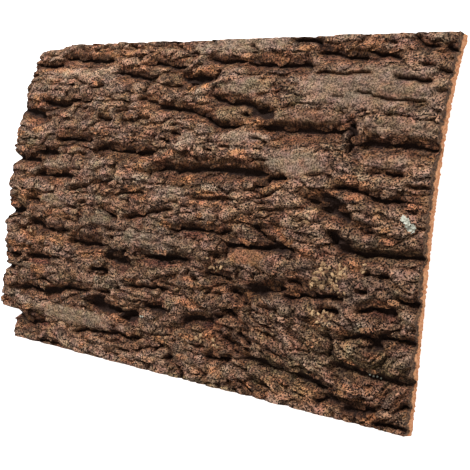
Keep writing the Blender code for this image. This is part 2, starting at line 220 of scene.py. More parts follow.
# Furrows: (depth, width of the steep lip, width of the slope, path of (x, y) points). The
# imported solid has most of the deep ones, on paths with fewer points, and not the small ones.
FURROWS = (
    # top edge row
    (9, 9, 10, ((-250, 186), (-240, 181), (-218, 178), (-196, 175), (-172, 174), (-152, 175))),
    (8, 7, 8, ((-296, 180), (-284, 176), (-268, 172), (-250, 171), (-238, 167))),
    (8, 8, 7, ((-96, 169), (-80, 170), (-64, 168), (-52, 164), (-38, 164), (-28, 167))),
    (7, 8, 7, ((-4, 173), (8, 172), (22, 170), (36, 171), (50, 171), (56, 174))),
    (9, 8, 9, ((54, 174), (60, 169), (66, 166), (82, 166), (98, 165), (116, 165), (132, 165), (146, 163))),
    (8, 6, 6, ((104, 198), (114, 195), (132, 196), (142, 192), (146, 186), (156, 184))),
    (9, 9, 8, ((142, 178), (158, 180), (168, 177), (182, 174), (196, 173), (210, 173))),
    (7, 6, 6, ((200, 187), (208, 179), (216, 175), (230, 175), (240, 171), (248, 172))),
    (6, 4, 4, ((248, 202), (254, 193), (260, 186), (270, 184), (284, 184))),
    (8, 5, 6, ((286, 188), (292, 180), (302, 178), (320, 177))),
    (5, 3, 3, ((-60, 202), (-58, 194), (-46, 191), (-40, 186), (-28, 183), (-14, 182))),
    (6, 5, 5, ((-136, 196), (-126, 192), (-118, 193))),
    (5, 4, 4, ((51, 193), (60, 187), (68, 184))),
    # second row
    (8, 8, 7, ((-141, 159), (-130, 157), (-116, 154), (-102, 151), (-88, 150), (-78, 152), (-68, 152))),
    (10, 9, 7, ((-36, 156), (-30, 150), (-16, 148), (2, 148), (16, 149))),
    (6, 3, 3, ((16, 145), (18, 153), (22, 162))),
    (3, 2, 2, ((-17, 168), (-18, 158))),
    (6, 2, 2, ((-16, 145), (-18, 134))),
    (5, 4, 4, ((-57, 143), (-48, 140), (-38, 139), (-30, 141))),
    (6, 4, 4, ((238, 152), (246, 150), (262, 148), (272, 146), (284, 147))),
    (5, 3, 4, ((266, 164), (276, 163), (284, 163))),
    (6, 4, 4, ((282, 160), (289, 157), (300, 156), (320, 156))),
    (4, 3, 3, ((146, 151), (154, 156), (171, 155), (186, 154), (196, 156), (208, 156), (218, 155))),
    (4, 2, 2, ((196, 137), (206, 134), (218, 133), (222, 129), (236, 127), (248, 126), (266, 126),
               (278, 125), (288, 122))),
    (5, 3, 3, ((-221, 143), (-206, 141))),
    (4, 3, 3, ((-209, 150), (-196, 144), (-183, 143))),
    (5, 3, 3, ((-181, 136), (-168, 139), (-153, 141))),
    (3, 2, 2, ((-260, 149), (-248, 145), (-240, 146), (-233, 141), (-220, 139))),
    (5, 4, 4, ((-320, 156), (-308, 155), (-294, 158), (-285, 162))),
    # third row
    (9, 8, 6, ((-261, 120), (-244, 114), (-221, 112), (-204, 116))),
    (6, 5, 4, ((-213, 119), (-198, 122), (-180, 119), (-166, 121))),
    (9, 8, 8, ((-320, 116), (-307, 113), (-297, 105), (-276, 102), (-260, 99), (-248, 93))),
    (6, 5, 4, ((-93, 124), (-82, 123), (-69, 119), (-58, 119))),
    (9, 7, 6, ((-60, 112), (-41, 112), (-21, 111), (-3, 108), (12, 104), (22, 99), (32, 94), (40, 91),
               (52, 93), (64, 95), (71, 97))),
    (10, 8, 6, ((16, 128), (29, 123), (44, 120), (62, 120), (74, 116), (86, 110), (98, 111), (104, 108))),
    (9, 6, 5, ((66, 105), (74, 109))),
    (6, 6, 4, ((-155, 100), (-143, 96), (-132, 95), (-126, 99))),
    (4, 3, 3, ((-126, 106), (-116, 107), (-105, 109))),
    (4, 3, 3, ((-116, 96), (-106, 95), (-92, 98), (-77, 99), (-64, 100))),
    (4, 3, 3, ((284, 138), (290, 136), (302, 137), (320, 137))),
    (3, 2, 2, ((173, 129), (190, 129))),
    (3, 2, 2, ((-33, 92), (-21, 93), (-9, 92))),
    # fourth row
    (11, 8, 9, ((88, 92), (99, 93), (115, 92), (135, 91), (155, 91), (176, 91), (191, 92), (201, 93))),
    (7, 4, 4, ((202, 107), (203, 98), (207, 90), (205, 82), (207, 75), (204, 68))),
    (11, 7, 9, ((208, 80), (226, 80), (246, 80), (266, 80), (287, 79), (302, 78), (320, 78))),
    (4, 2, 3, ((82, 82), (89, 80), (99, 78), (105, 77))),
    (8, 9, 8, ((-221, 67), (-209, 67), (-194, 69), (-178, 69), (-163, 68), (-152, 67))),
    (8, 9, 7, ((-148, 57), (-133, 59), (-108, 58), (-88, 57), (-77, 56), (-62, 57), (-48, 59))),
    (4, 3, 3, ((-64, 68), (-54, 65), (-45, 62))),
    (6, 5, 4, ((-45, 77), (-36, 72), (-31, 71))),
    (6, 4, 3, ((-31, 82), (-22, 82), (-13, 80))),
    (5, 3, 3, ((4, 71), (5, 61), (8, 54), (15, 51), (21, 47))),
    (5, 4, 3, ((24, 66), (35, 64))),
    (4, 3, 3, ((38, 72), (48, 70), (61, 68))),
    (3, 3, 3, ((231, 66), (246, 66))),
    (6, 4, 4, ((231, 52), (246, 52), (258, 50), (271, 50))),
    (5, 3, 3, ((271, 41), (281, 39), (300, 40), (320, 40))),
    (7, 6, 5, ((-249, 52), (-239, 51), (-227, 50), (-213, 49))),
    (3, 3, 3, ((-179, 53), (-169, 51), (-158, 51))),
    # middle row
    (10, 10, 8, ((-57, 32), (-49, 35), (-36, 40), (-21, 39), (-15, 35), (-6, 39), (6, 39), (16, 41),
                 (29, 42), (49, 42), (74, 42), (89, 41), (104, 41), (118, 42))),
    (10, 7, 7, ((-320, 39), (-294, 39), (-284, 39), (-264, 38), (-254, 38), (-244, 34))),
    (10, 6, 6, ((-247, 19), (-234, 20), (-219, 20), (-204, 21), (-189, 19), (-177, 17))),
    (6, 5, 4, ((-186, 4), (-178, 4), (-168, 8), (-158, 8), (-150, 12))),
    (5, 4, 4, ((-148, 16), (-138, 17), (-126, 18), (-116, 20), (-108, 23))),
    (5, 3, 4, ((-110, 3), (-99, 6), (-92, 6), (-79, 7), (-65, 9), (-55, 9))),
    (7, 5, 5, ((92, 25), (109, 30), (116, 37), (129, 39), (138, 40))),
    (4, 2, 2, ((94, 14), (104, 15), (119, 20), (134, 29), (138, 33))),
    (4, 3, 3, ((8, 9), (16, 8), (24, 7), (34, 9), (44, 9), (59, 11), (74, 11))),
    (4, 3, 3, ((106, 4), (119, 3), (129, 4), (142, 4))),
    (7, 5, 5, ((188, 33), (201, 34), (214, 34), (226, 31), (238, 27), (249, 24), (264, 24), (275, 24))),
    (4, 2, 2, ((277, 26), (278, 18), (286, 13))),
    (11, 8, 7, ((159, 21), (170, 18), (180, 13), (190, 9), (205, 6), (212, 2), (217, -3))),
    (3, 2, 3, ((160, 43), (171, 44), (178, 47), (186, 45), (194, 44))),
    (3, 2, 2, ((13, 38), (14, 23))),
    # sixth row
    (9, 5, 5, ((191, -12), (199, -17), (204, -28))),
    (9, 7, 7, ((204, -28), (218, -31), (236, -32), (251, -30), (266, -31), (281, -29), (302, -28),
               (320, -28))),
    (5, 3, 4, ((215, -2), (226, -3), (234, -11), (246, -8))),
    (6, 4, 4, ((241, -25), (251, -27))),
    (8, 6, 7, ((-320, -33), (-298, -33), (-288, -32), (-275, -30), (-262, -27))),
    (4, 3, 4, ((-289, -17), (-277, -22), (-267, -26))),
    (6, 4, 5, ((-261, -15), (-249, -12), (-241, -14), (-236, -18))),
    (4, 3, 3, ((-188, -17), (-176, -18), (-166, -20))),
    (4, 3, 3, ((-168, -12), (-158, -10), (-148, -10))),
    (7, 5, 5, ((-130, -15), (-121, -18), (-112, -22), (-104, -25), (-96, -27))),
    (5, 5, 4, ((-92, -25), (-79, -23), (-62, -19), (-47, -15), (-35, -12), (-22, -8), (-6, -8))),
    (7, 5, 8, ((-19, -31), (-6, -31), (2, -28), (14, -28), (29, -27), (44, -26), (59, -27), (69, -24),
               (76, -24))),
    (7, 5, 5, ((100, -13), (108, -20), (116, -25), (126, -29), (135, -33))),
    (8, 5, 5, ((64, -36), (70, -41), (79, -39), (89, -38), (99, -38), (112, -38), (124, -37), (134, -35),
               (145, -34), (153, -36))),
    (5, 3, 3, ((65, -36), (70, -43), (69, -50), (67, -56))),
    (3, 2, 2, ((119, -8), (131, -15), (140, -23), (147, -32))),
    # seventh row
    (9, 6, 6, ((-256, -41), (-248, -44), (-236, -45), (-230, -50), (-218, -50), (-203, -50), (-188, -49),
               (-180, -49))),
    (6, 4, 4, ((-278, -52), (-266, -54), (-255, -58), (-245, -62), (-240, -68))),
    (5, 3, 3, ((-320, -60), (-308, -61), (-304, -67), (-298, -75))),
    (7, 5, 6, ((-301, -88), (-289, -90), (-274, -91), (-263, -89))),
    (9, 5, 6, ((-254, -85), (-246, -89), (-233, -90), (-220, -88), (-211, -88))),
    (9, 10, 8, ((-180, -61), (-168, -62), (-153, -63), (-138, -62), (-123, -61), (-111, -59))),
    (10, 6, 12, ((-111, -73), (-103, -75), (-93, -76), (-79, -78), (-69, -81))),
    (7, 6, 6, ((-62, -63), (-52, -62), (-46, -67), (-36, -66), (-21, -65), (-6, -63), (9, -63), (22, -63))),
    (8, 5, 4, ((-136, -94), (-126, -91), (-116, -91), (-108, -94))),
    (6, 4, 4, ((-83, -108), (-72, -105), (-57, -104), (-42, -102), (-32, -103), (-28, -101), (-6, -100))),
    (5, 4, 4, ((44, -54), (54, -53), (64, -56))),
    (8, 7, 7, ((39, -74), (54, -75), (69, -76), (82, -76))),
    (4, 3, 3, ((86, -65), (87, -76))),
    (5, 3, 3, ((22, -71), (16, -79))),
    (6, 4, 4, ((24, -83), (34, -83))),
    (10, 6, 6, ((76, -91), (86, -91), (91, -93), (96, -99), (102, -104))),
    (9, 8, 6, ((104, -88), (114, -86), (124, -83), (140, -80), (155, -77))),
    (8, 5, 6, ((145, -85), (155, -87), (167, -83), (175, -81), (186, -80), (196, -79), (211, -78),
               (221, -79))),
    (6, 4, 4, ((150, -68), (160, -69), (166, -71), (171, -76))),
    (7, 4, 4, ((229, -68), (241, -68), (247, -67))),
    (4, 2, 3, ((232, -42), (237, -50), (235, -55))),
    (6, 4, 4, ((236, -50), (248, -49), (259, -50), (267, -51))),
    (10, 7, 7, ((231, -89), (241, -86), (251, -84), (266, -84), (279, -84))),
    (9, 5, 5, ((274, -70), (284, -72), (302, -72), (320, -72))),
    (7, 4, 4, ((190, -101), (196, -91), (204, -92), (216, -93))),
    (4, 3, 3, ((114, -101), (129, -102), (144, -101))),
    (4, 3, 3, ((42, -97), (54, -96), (69, -95))),
    (4, 3, 3, ((-188, -34), (-175, -33))),
    (5, 4, 4, ((-107, -49), (-98, -50))),
    # eighth row
    (9, 5, 5, ((216, -119), (226, -117), (236, -114), (246, -113), (254, -114), (261, -120), (268, -121))),
    (8, 5, 5, ((254, -110), (266, -110), (281, -110), (302, -110), (320, -110))),
    (6, 3, 4, ((201, -114), (206, -119), (209, -128), (208, -141))),
    (11, 7, 7, ((206, -147), (216, -148), (231, -148), (246, -150), (266, -151), (281, -150), (302, -149),
                (320, -149))),
    (5, 4, 4, ((-237, -116), (-223, -116), (-208, -118), (-198, -118))),
    (9, 6, 8, ((-280, -138), (-267, -135), (-254, -132), (-244, -130), (-228, -132), (-213, -134),
               (-205, -130), (-193, -128), (-183, -124), (-173, -122), (-158, -122), (-143, -121),
               (-133, -120))),
    (7, 5, 5, ((-320, -106), (-296, -107), (-284, -109), (-276, -107))),
    (11, 6, 7, ((-138, -135), (-128, -137), (-113, -136), (-100, -136), (-87, -138), (-79, -136))),
    (10, 5, 5, ((-78, -143), (-71, -147), (-66, -140), (-56, -138), (-48, -137))),
    (10, 6, 5, ((-44, -129), (-36, -124), (-28, -124), (-18, -125), (-11, -126))),
    (5, 4, 4, ((-120, -117), (-113, -118), (-103, -118), (-95, -117))),
    (5, 4, 3, ((-95, -111), (-85, -110))),
    (7, 5, 12, ((14, -142), (19, -133), (26, -128), (39, -127), (46, -124), (54, -127), (62, -132),
                (67, -137), (74, -141))),
    (7, 4, 4, ((67, -112), (74, -111), (82, -115), (87, -119))),
    (5, 4, 4, ((62, -121), (72, -123))),
    (9, 5, 5, ((92, -132), (99, -137), (107, -143), (112, -144))),
    (8, 5, 5, ((74, -139), (82, -146), (89, -153), (94, -159))),
    (5, 3, 3, ((122, -148), (127, -151), (124, -156))),
    (3, 2, 3, ((120, -129), (129, -128), (139, -131), (149, -127))),
    (3, 2, 2, ((176, -125), (181, -134), (186, -142))),
    # bottom row
    (9, 6, 7, ((94, -164), (102, -161), (114, -160), (129, -161), (141, -164), (151, -163), (161, -165),
               (171, -166), (186, -169), (196, -170), (211, -171))),
    (8, 6, 5, ((47, -168), (54, -169), (66, -168), (79, -167), (86, -164), (91, -161))),
    (4, 3, 3, ((34, -159), (44, -159), (51, -157))),
    (7, 4, 4, ((-6, -181), (2, -179), (9, -181), (16, -187), (20, -195), (22, -205))),
    (10, 6, 6, ((-270, -166), (-258, -173), (-248, -178), (-233, -176), (-218, -172), (-203, -170))),
    (6, 4, 4, ((-163, -175), (-153, -175), (-143, -173), (-136, -169), (-118, -169), (-98, -168),
               (-83, -165), (-68, -168), (-60, -166), (-52, -166), (-42, -162), (-34, -161))),
    (5, 3, 3, ((-62, -177), (-54, -179), (-46, -179), (-39, -174), (-31, -173), (-21, -173), (-14, -169),
               (-6, -168))),
    (3, 2, 2, ((-93, -174), (-81, -174), (-68, -176))),
    (4, 3, 3, ((-96, -187), (-86, -185), (-71, -183), (-58, -183))),
    (3, 2, 2, ((-143, -184), (-128, -185), (-113, -183))),
    (6, 3, 4, ((-226, -201), (-216, -197), (-206, -196), (-188, -196), (-173, -196))),
    (4, 3, 3, ((44, -184), (54, -189), (60, -192))),
    (6, 4, 4, ((81, -190), (91, -193), (101, -198))),
    (4, 3, 3, ((94, -184), (106, -189), (116, -196), (121, -205))),
    (6, 4, 4, ((112, -179), (119, -183), (129, -185), (142, -187))),
    (7, 4, 5, ((196, -191), (201, -185), (208, -182), (216, -183), (220, -188))),
    (6, 4, 4, ((228, -189), (236, -188), (243, -187), (246, -184), (258, -186), (268, -184))),
    (4, 2, 2, ((217, -205), (220, -191))),
    (3, 2, 2, ((228, -205), (236, -191))),
    (3, 2, 2, ((244, -205), (241, -190))),
    (7, 4, 4, ((258, -195), (268, -196), (279, -194), (300, -194), (320, -194))),
    (4, 3, 3, ((268, -179), (281, -179))),
    (7, 5, 5, ((286, -179), (293, -173), (302, -174), (320, -175))),
    (3, 2, 2, ((244, -153), (243, -163))),
)

# Patches of colour on the outer face: (x, y, half length, half width, turn, strength)
TAN_PATCHES = (
    (-262, 120, 18, 10, 0, 0.7), (-262, 92, 22, 9, 0, 0.7), (-255, 79, 10, 5, 0, 1.0),
    (-292, 72, 12, 9, 0, 1.0), (-245, 162, 14, 5, 0, 0.6), (-270, 165, 15, 5, 0, 0.6),
    (-135, 185, 30, 9, 0, 0.6), (-190, 190, 30, 8, 0, 0.4), (-100, 163, 30, 5, 0, 0.5),
    (5, 160, 12, 7, 0, 0.7), (-15, 138, 9, 6, 0, 0.6), (5, 142, 8, 5, 0, 0.7),
    (-75, 104, 14, 6, 0, 0.6), (-70, 112, 20, 4, 0, 0.6), (-10, 115, 20, 4, 0, 0.6),
    (130, 186, 12, 4, 0, 1.0), (190, 185, 30, 5, 0, 0.6), (95, 176, 30, 6, 0, 0.5),
    (72, 62, 14, 5, 0, 1.0), (85, 100, 12, 5, 0, 0.6), (-35, 52, 15, 6, 35, 0.7),
    (-75, 38, 15, 5, 0, 0.7), (-10, 28, 12, 6, 0, 0.6), (5, 28, 10, 6, 0, 1.0),
    (35, 15, 18, 4, 0, 0.7), (40, 3, 30, 3, 0, 0.5), (120, 28, 22, 4, 25, 1.0),
    (205, 42, 12, 5, 0, 0.7), (225, 38, 15, 4, 0, 0.7), (188, 27, 18, 4, 0, 0.8),
    (215, 25, 12, 4, 0, 0.7), (-205, 12, 15, 5, 0, 0.6), (-200, -30, 30, 8, 0, 0.6),
    (-255, -8, 25, 8, 0, 0.6), (-75, 13, 18, 4, 0, 0.6), (-65, 3, 15, 4, 0, 0.6),
    (-285, -17, 6, 6, 0, 0.7), (-255, -60, 18, 7, -20, 1.0), (-235, -67, 14, 6, 0, 0.7),
    (-270, -78, 22, 5, 0, 1.0), (-228, -105, 16, 7, 0, 1.0), (-195, -62, 25, 8, 0, 0.6),
    (-120, -72, 20, 6, 0, 0.6), (-150, -75, 15, 6, 0, 0.6), (-20, -25, 12, 4, 0, 1.0),
    (100, -50, 26, 9, 0, 0.9), (137, -21, 14, 4, -35, 1.0), (20, -85, 12, 4, 0, 0.7),
    (40, -92, 18, 4, 0, 0.7), (65, -90, 14, 3, 0, 0.7), (170, -37, 10, 5, 0, 1.0),
    (228, -45, 8, 6, 0, 0.8), (155, -62, 10, 5, 0, 0.7), (158, -75, 9, 6, 0, 0.6),
    (88, -106, 8, 4, 0, 0.7), (103, -92, 5, 4, 0, 0.8), (55, -144, 13, 4, 0, 1.0),
    (25, -150, 12, 3, 0, 1.0), (-80, -147, 12, 4, 0, 0.7), (22, -175, 9, 4, 0, 0.8),
    (70, -182, 12, 6, 0, 0.7), (57, -193, 6, 4, 0, 0.7), (108, -187, 9, 4, -30, 0.7),
    (25, -112, 20, 5, 0, 1.0), (-60, -195, 12, 3, 0, 1.0), (-135, -180, 12, 3, 0, 0.6),
    (-120, -175, 15, 3, 0, 0.6), (-290, -152, 10, 4, 0, 1.0), (250, -165, 25, 5, 0, 0.6),
    (255, -129, 10, 3, 0, 1.0), (215, -110, 8, 5, 0, 0.8), (187, -108, 8, 5, 0, 0.7),
    (160, -175, 25, 8, 0, 0.4), (185, -178, 20, 8, 0, 0.4), (255, -192, 8, 5, 0, 0.7),
    (165, -190, 40, 5, 0, 0.5), (270, -187, 15, 3, 0, 0.6),
)
GREY_PATCHES = (
    (-220, 158, 40, 6, 0, 0.7), (-160, 158, 35, 8, 0, 0.6), (-275, 135, 20, 8, 0, 0.5),
    (60, 140, 30, 8, 0, 0.7), (170, 135, 60, 18, 0, 0.45), (250, 155, 40, 10, 0, 0.4),
    (40, 190, 70, 8, 0, 0.7), (-5, 76, 14, 7, 0, 1.0), (140, 55, 35, 10, 0, 0.8),
    (75, 82, 30, 6, 0, 0.9), (160, 60, 25, 8, 0, 0.6), (-70, 25, 20, 6, 0, 0.7),
    (-15, 12, 18, 7, 0, 0.7), (35, 22, 14, 6, 0, 0.7), (-215, 35, 22, 5, 0, 0.7),
    (-240, 7, 15, 6, 0, 0.7), (-215, -10, 20, 6, 0, 0.7), (-120, 22, 16, 4, 0, 0.7),
    (-95, 2, 10, 4, 0, 0.7), (-138, -3, 14, 3, 0, 0.9), (-130, -20, 14, 3, 0, 0.9),
    (-122, -29, 14, 6, 0, 0.7), (-60, -42, 30, 6, 0, 0.8), (-30, -55, 30, 5, 0, 0.7),
    (-140, 42, 14, 6, 0, 0.7), (-100, -105, 30, 7, 0, 0.8), (-130, -155, 30, 10, 0, 0.8),
    (-180, -155, 40, 8, 0, 0.8), (-230, -148, 30, 6, 0, 0.7), (-275, -143, 12, 6, 0, 0.7),
    (222, 45, 12, 5, 0, 0.7), (0, 130, 8, 7, 0, 0.9), (180, -148, 20, 6, 0, 0.6),
    (232, -105, 14, 6, 0, 0.6), (285, -88, 10, 6, 0, 0.7), (47, -168, 4, 5, 0, 1.0),
)
OLIVE_PATCHES = (
    (-270, 63, 15, 8, 0, 0.8), (-240, -195, 12, 5, 0, 0.7), (-175, -110, 15, 5, 0, 0.7),
    (130, 125, 14, 6, 0, 0.7), (-215, -10, 20, 6, 0, 0.5), (-122, -29, 14, 6, 0, 0.6),
    (-100, -105, 30, 7, 0, 0.5), (-155, -155, 60, 9, 0, 0.5), (60, 140, 30, 8, 0, 0.5),
    (285, -88, 10, 6, 0, 0.5), (250, 137, 20, 5, 0, 0.5), (45, -198, 50, 3, 0, 0.8),
    (160, -170, 50, 22, 0, 0.6), (245, -142, 50, 20, 0, 0.6), (53, 109, 22, 9, 0, 0.6),
    (205, -122, 40, 14, 0, 0.5), (255, -25, 30, 14, 0, 0.5), (-57, 148, 24, 9, 0, 0.4),
)
RED_PATCHES = (
    (25, -33, 16, 4, 0, 0.8), (-30, -73, 25, 5, 0, 0.8), (-210, -175, 15, 4, 0, 0.7),
    (60, -130, 15, 6, 0, 0.6), (-55, -145, 8, 6, 0, 1.0), (200, -165, 15, 5, 0, 0.4),
    (265, -88, 18, 4, 0, 0.5), (245, -155, 30, 6, 0, 0.35), (-230, -95, 25, 4, 0, 0.7),
    (-65, 3, 15, 4, 0, 0.6), (103, -92, 5, 4, 0, 0.9), (215, 25, 12, 4, 0, 0.5),
)

# Broad smooth plates where the bark is hardly broken up
CALM_ZONES = (
    (215, 140, 80, 24, 0, 1.0), (145, 55, 42, 14, 0, 1.0), (60, 140, 34, 10, 0, 0.8),
    (75, 82, 34, 7, 0, 0.8), (40, 191, 75, 8, 0, 0.7), (-220, 158, 42, 7, 0, 0.7),
    (-155, -155, 75, 10, 0, 0.9), (-210, 32, 30, 7, 0, 0.6), (-210, -12, 26, 8, 0, 0.7),
    (-45, -46, 45, 8, 0, 0.6), (100, -50, 26, 9, 0, 1.0), (-122, -30, 16, 7, 0, 0.6),
    (-5, 76, 14, 7, 0, 0.8), (-20, 12, 24, 8, 0, 0.5), (150, 105, 55, 9, 0, 0.7),
    (255, 98, 45, 10, 0, 0.7), (255, 62, 40, 9, 0, 0.6),
)

# Hollows where the bark has broken out under a furrow's lip, darkened by painted shade
HOLLOWS = (
    (-96, -73, 20, 11, -8, 1.0), (-106, -135, 29, 8, -4, 0.9), (-66, -144, 15, 8, 0, 0.8),
    (92, 110, 15, 9, 0, 0.9), (-12, 151, 20, 9, 0, 0.7), (198, 14, 27, 8, -35, 0.9),
    (-234, 51, 17, 8, 0, 0.7), (112, -90, 20, 8, 0, 0.8), (44, -131, 29, 8, 0, 0.5),
    (138, -38, 25, 7, 0, 0.6), (-216, -88, 22, 5, 0, 0.7), (-265, 100, 29, 7, -15, 0.6),
    (-288, -31, 18, 7, 0, 0.7), (-60, 112, 16, 5, 0, 0.5), (-232, 20, 13, 5, 0, 0.6),
    (-30, -126, 22, 7, 0, 0.6), (232, -148, 38, 7, 0, 0.6), (262, -86, 25, 7, 0, 0.6),
    (206, -20, 13, 11, -60, 0.8), (-210, -131, 27, 5, 0, 0.5), (80, 42, 34, 7, 0, 0.5),
    (-20, -65, 29, 5, 0, 0.5), (84, -151, 18, 7, -40, 0.6), (206, 92, 6, 19, 0, 0.6),
)

# Broad pools of painted light, and broad areas of painted shade
PAINTED_LIGHT_AREAS = (
    (-195, 168, 120, 32, 0, 1.0), (-60, 160, 70, 28, 0, 0.8), (60, 95, 70, 38, 0, 0.4),
    (10, 113, 110, 20, 0, 0.7), (-10, 54, 130, 18, 0, 0.45),
    (-225, 5, 60, 25, 0, 0.4), (125, 12, 60, 18, 0, 0.6), (-290, 70, 20, 40, 0, 0.4),
)
PAINTED_SHADE_AREAS = (
    (20, -52, 220, 34, -5, 0.6), (120, -86, 150, 36, 0, 0.6), (200, -62, 50, 34, 0, 0.6),
    (-10, -128, 60, 20, 0, 0.4), (250, -150, 60, 20, 0, 0.4), (215, 12, 40, 18, -30, 0.4),
    (250, -55, 42, 50, 0, 0.45), (25, -165, 42, 22, 0, 0.5), (230, -68, 46, 24, 0, 0.9),
    (200, 146, 60, 24, 0, 0.4), (170, -150, 60, 24, 0, 0.35),
)


def linear(code):
    """An sRGB hex colour as linear red, green and blue."""
    values = [int(code[i:i + 2], 16) / 255 for i in (1, 3, 5)]
    return tuple(((v + 0.055) / 1.055) ** 2.4 if v > 0.04045 else v / 12.92 for v in values)


def smooth(t):
    """Rise from 0 to 1 with level ends: three t squared less two t cubed."""
    t = np.clip(t, 0.0, 1.0)
    return t * t * (3 - 2 * t)


def unit(v):
    """Vectors scaled to length one."""
    return v / np.linalg.norm(v, axis=-1, keepdims=True)


def lattice(column, row, seed):
    """A fixed random number from 0 to 1 for each whole-number point of a plane."""
    n = (column * 73856093) ^ (row * 19349663) ^ (seed * 83492791)
    n = (n ^ (n >> 13)) * 1274126177
    n = n ^ (n >> 16)
    return (n & 0xFFFFFF) / float(0xFFFFFF)


def noise(x, y, seed):
    """Smooth noise from about -1 to 1: a random slope at each whole-number point, blended
    between the four points round a place by a curve of the fifth power."""
    x, y = np.broadcast_arrays(np.asarray(x, float), np.asarray(y, float))
    column = np.floor(x).astype(np.int64)
    row = np.floor(y).astype(np.int64)
    fx, fy = x - column, y - row
    blend_x = fx ** 3 * (fx * (fx * 6 - 15) + 10)
    blend_y = fy ** 3 * (fy * (fy * 6 - 15) + 10)
    corners = []
    for cx, cy in ((0, 0), (1, 0), (0, 1), (1, 1)):
        turn = 2 * np.pi * lattice(column + cx, row + cy, seed)
        corners.append(np.cos(turn) * (fx - cx) + np.sin(turn) * (fy - cy))
    low = corners[0] + blend_x * (corners[1] - corners[0])
    high = corners[2] + blend_x * (corners[3] - corners[2])
    return 1.5 * (low + blend_y * (high - low))


def wave(x, y, size, seed):
    """Noise of a given size along the grain, size across it, and height."""
    along, across, height = size
    return height * noise(x / along, y / across, seed)


def cells(x, y, seed):
    """Irregular cells, one round each jittered point: how far inside its cell a place is,
    a random number of the cell, and the place across it."""
    column = np.floor(x).astype(np.int64)
    row = np.floor(y).astype(np.int64)
    first = np.full(x.shape, 9.0)
    second = np.full(x.shape, 9.0)
    pick = np.zeros(x.shape)
    across = np.zeros(x.shape)
    for cx in (-1, 0, 1):
        for cy in (-1, 0, 1):
            px = column + cx + 0.15 + 0.7 * lattice(column + cx, row + cy, seed)
            py = row + cy + 0.15 + 0.7 * lattice(column + cx, row + cy, seed + 1)
            far = np.hypot(x - px, y - py)
            closer = far < first
            second = np.where(closer, first, np.minimum(second, far))
            pick = np.where(closer, lattice(column + cx, row + cy, seed + 2), pick)
            across = np.where(closer, y - py, across)
            first = np.where(closer, far, first)
    return second - first, pick, across


def gully(x, y, size, seed):
    """Depth of the gullies that run wherever a noise of the given size crosses zero."""
    length, width, depth = size
    off = np.abs(noise(x / length, y / width, seed))
    return depth * np.clip(1 - off / GULLY_WIDTH, 0, 1) ** GULLY_POWER


def zone(x, y, table, ragged=0.35):
    """The strongest of a table's ellipses at each place, with ragged rims: full inside,
    falling to 0 a little past the rim."""
    frayed = ragged * (wave(x, y, RIM_COARSE, 401) + wave(x, y, RIM_FINE, 402))
    strongest = np.zeros(x.shape)
    for px, py, long_half, short_half, turn, strength in table:
        ca, sa = math.cos(math.radians(turn)), math.sin(math.radians(turn))
        along = ((x - px) * ca + (y - py) * sa) / long_half
        across = ((y - py) * ca - (x - px) * sa) / short_half
        inside = smooth((1.25 - np.hypot(along, across) + frayed) / 0.6)
        strongest = np.maximum(strongest, strength * inside)
    return strongest


def nearest_on_path(x, y, path):
    """Distance to a path, the side of it (above is positive), the length run along it, and
    the path's whole length."""
    points = np.array(path, float)
    best = np.full(x.shape, 1e9)
    side = np.zeros(x.shape)
    along = np.zeros(x.shape)
    run = 0.0
    for start, end in zip(points[:-1], points[1:]):
        step = np.hypot(*(end - start))
        ux, uy = (end - start) / step
        s = np.clip((x - start[0]) * ux + (y - start[1]) * uy, 0, step)
        dx = x - start[0] - s * ux
        dy = y - start[1] - s * uy
        far = np.hypot(dx, dy)
        closer = far < best
        best = np.where(closer, far, best)
        side = np.where(closer, ux * dy - uy * dx, side)
        along = np.where(closer, run + s, along)
        run += step
    return best, side, along, run


def one_furrow(x, y, deepest, lip, slope, path):
    """A furrow's depth, and the marks of its slit, its wall and the shade about it, which the colours use
    for painted shade.

    Above its path the side is a quarter roll: one less the root of s times two less s, for
    s from 0 at the slit to 1. Below it the side rises as one less s to the 1.5. A brow
    stands up past the roll, a wide dome rounds the ridges, and the ends run out.
    """
    best, side, along, length = nearest_on_path(x, y, path)
    width = np.where(side > 0, ROLL_WIDTH * lip, slope)
    out = np.clip(best / width, 0, 1)
    roll = 1 - np.sqrt(out * (2 - out))
    steep = np.where(side > 0, roll, (1 - out) ** SLOPE_POWER)
    dome = smooth(1 - best / (DOME_REACH * width + DOME_MARGIN))
    share, least, start = RUN_OUT
    ends = smooth(np.minimum(along, length - along) / (share * length + least) + start)
    brow = BROW_RISE * smooth(1 - np.abs(best / width - BROW_PLACE) / BROW_WIDTH) * (side > 0)
    fall = (1 - FURROW_DOME) * steep + FURROW_DOME * dome - brow
    fall = FURROW_GAIN * deepest * ends * fall
    strength = np.clip(deepest / FULL_STRENGTH, 0, 1) * ends
    slit = strength * smooth(1.1 - best / (SLIT_WIDTH[0] + SLIT_WIDTH[1] * deepest))
    wall = strength * smooth(1.1 - best / width) * smooth(side / 3 + 0.5)
    shade = strength * smooth(1.15 - best / (SHADE_WIDTH[0] + SHADE_WIDTH[1] * deepest))
    return fall, slit, wall, shade


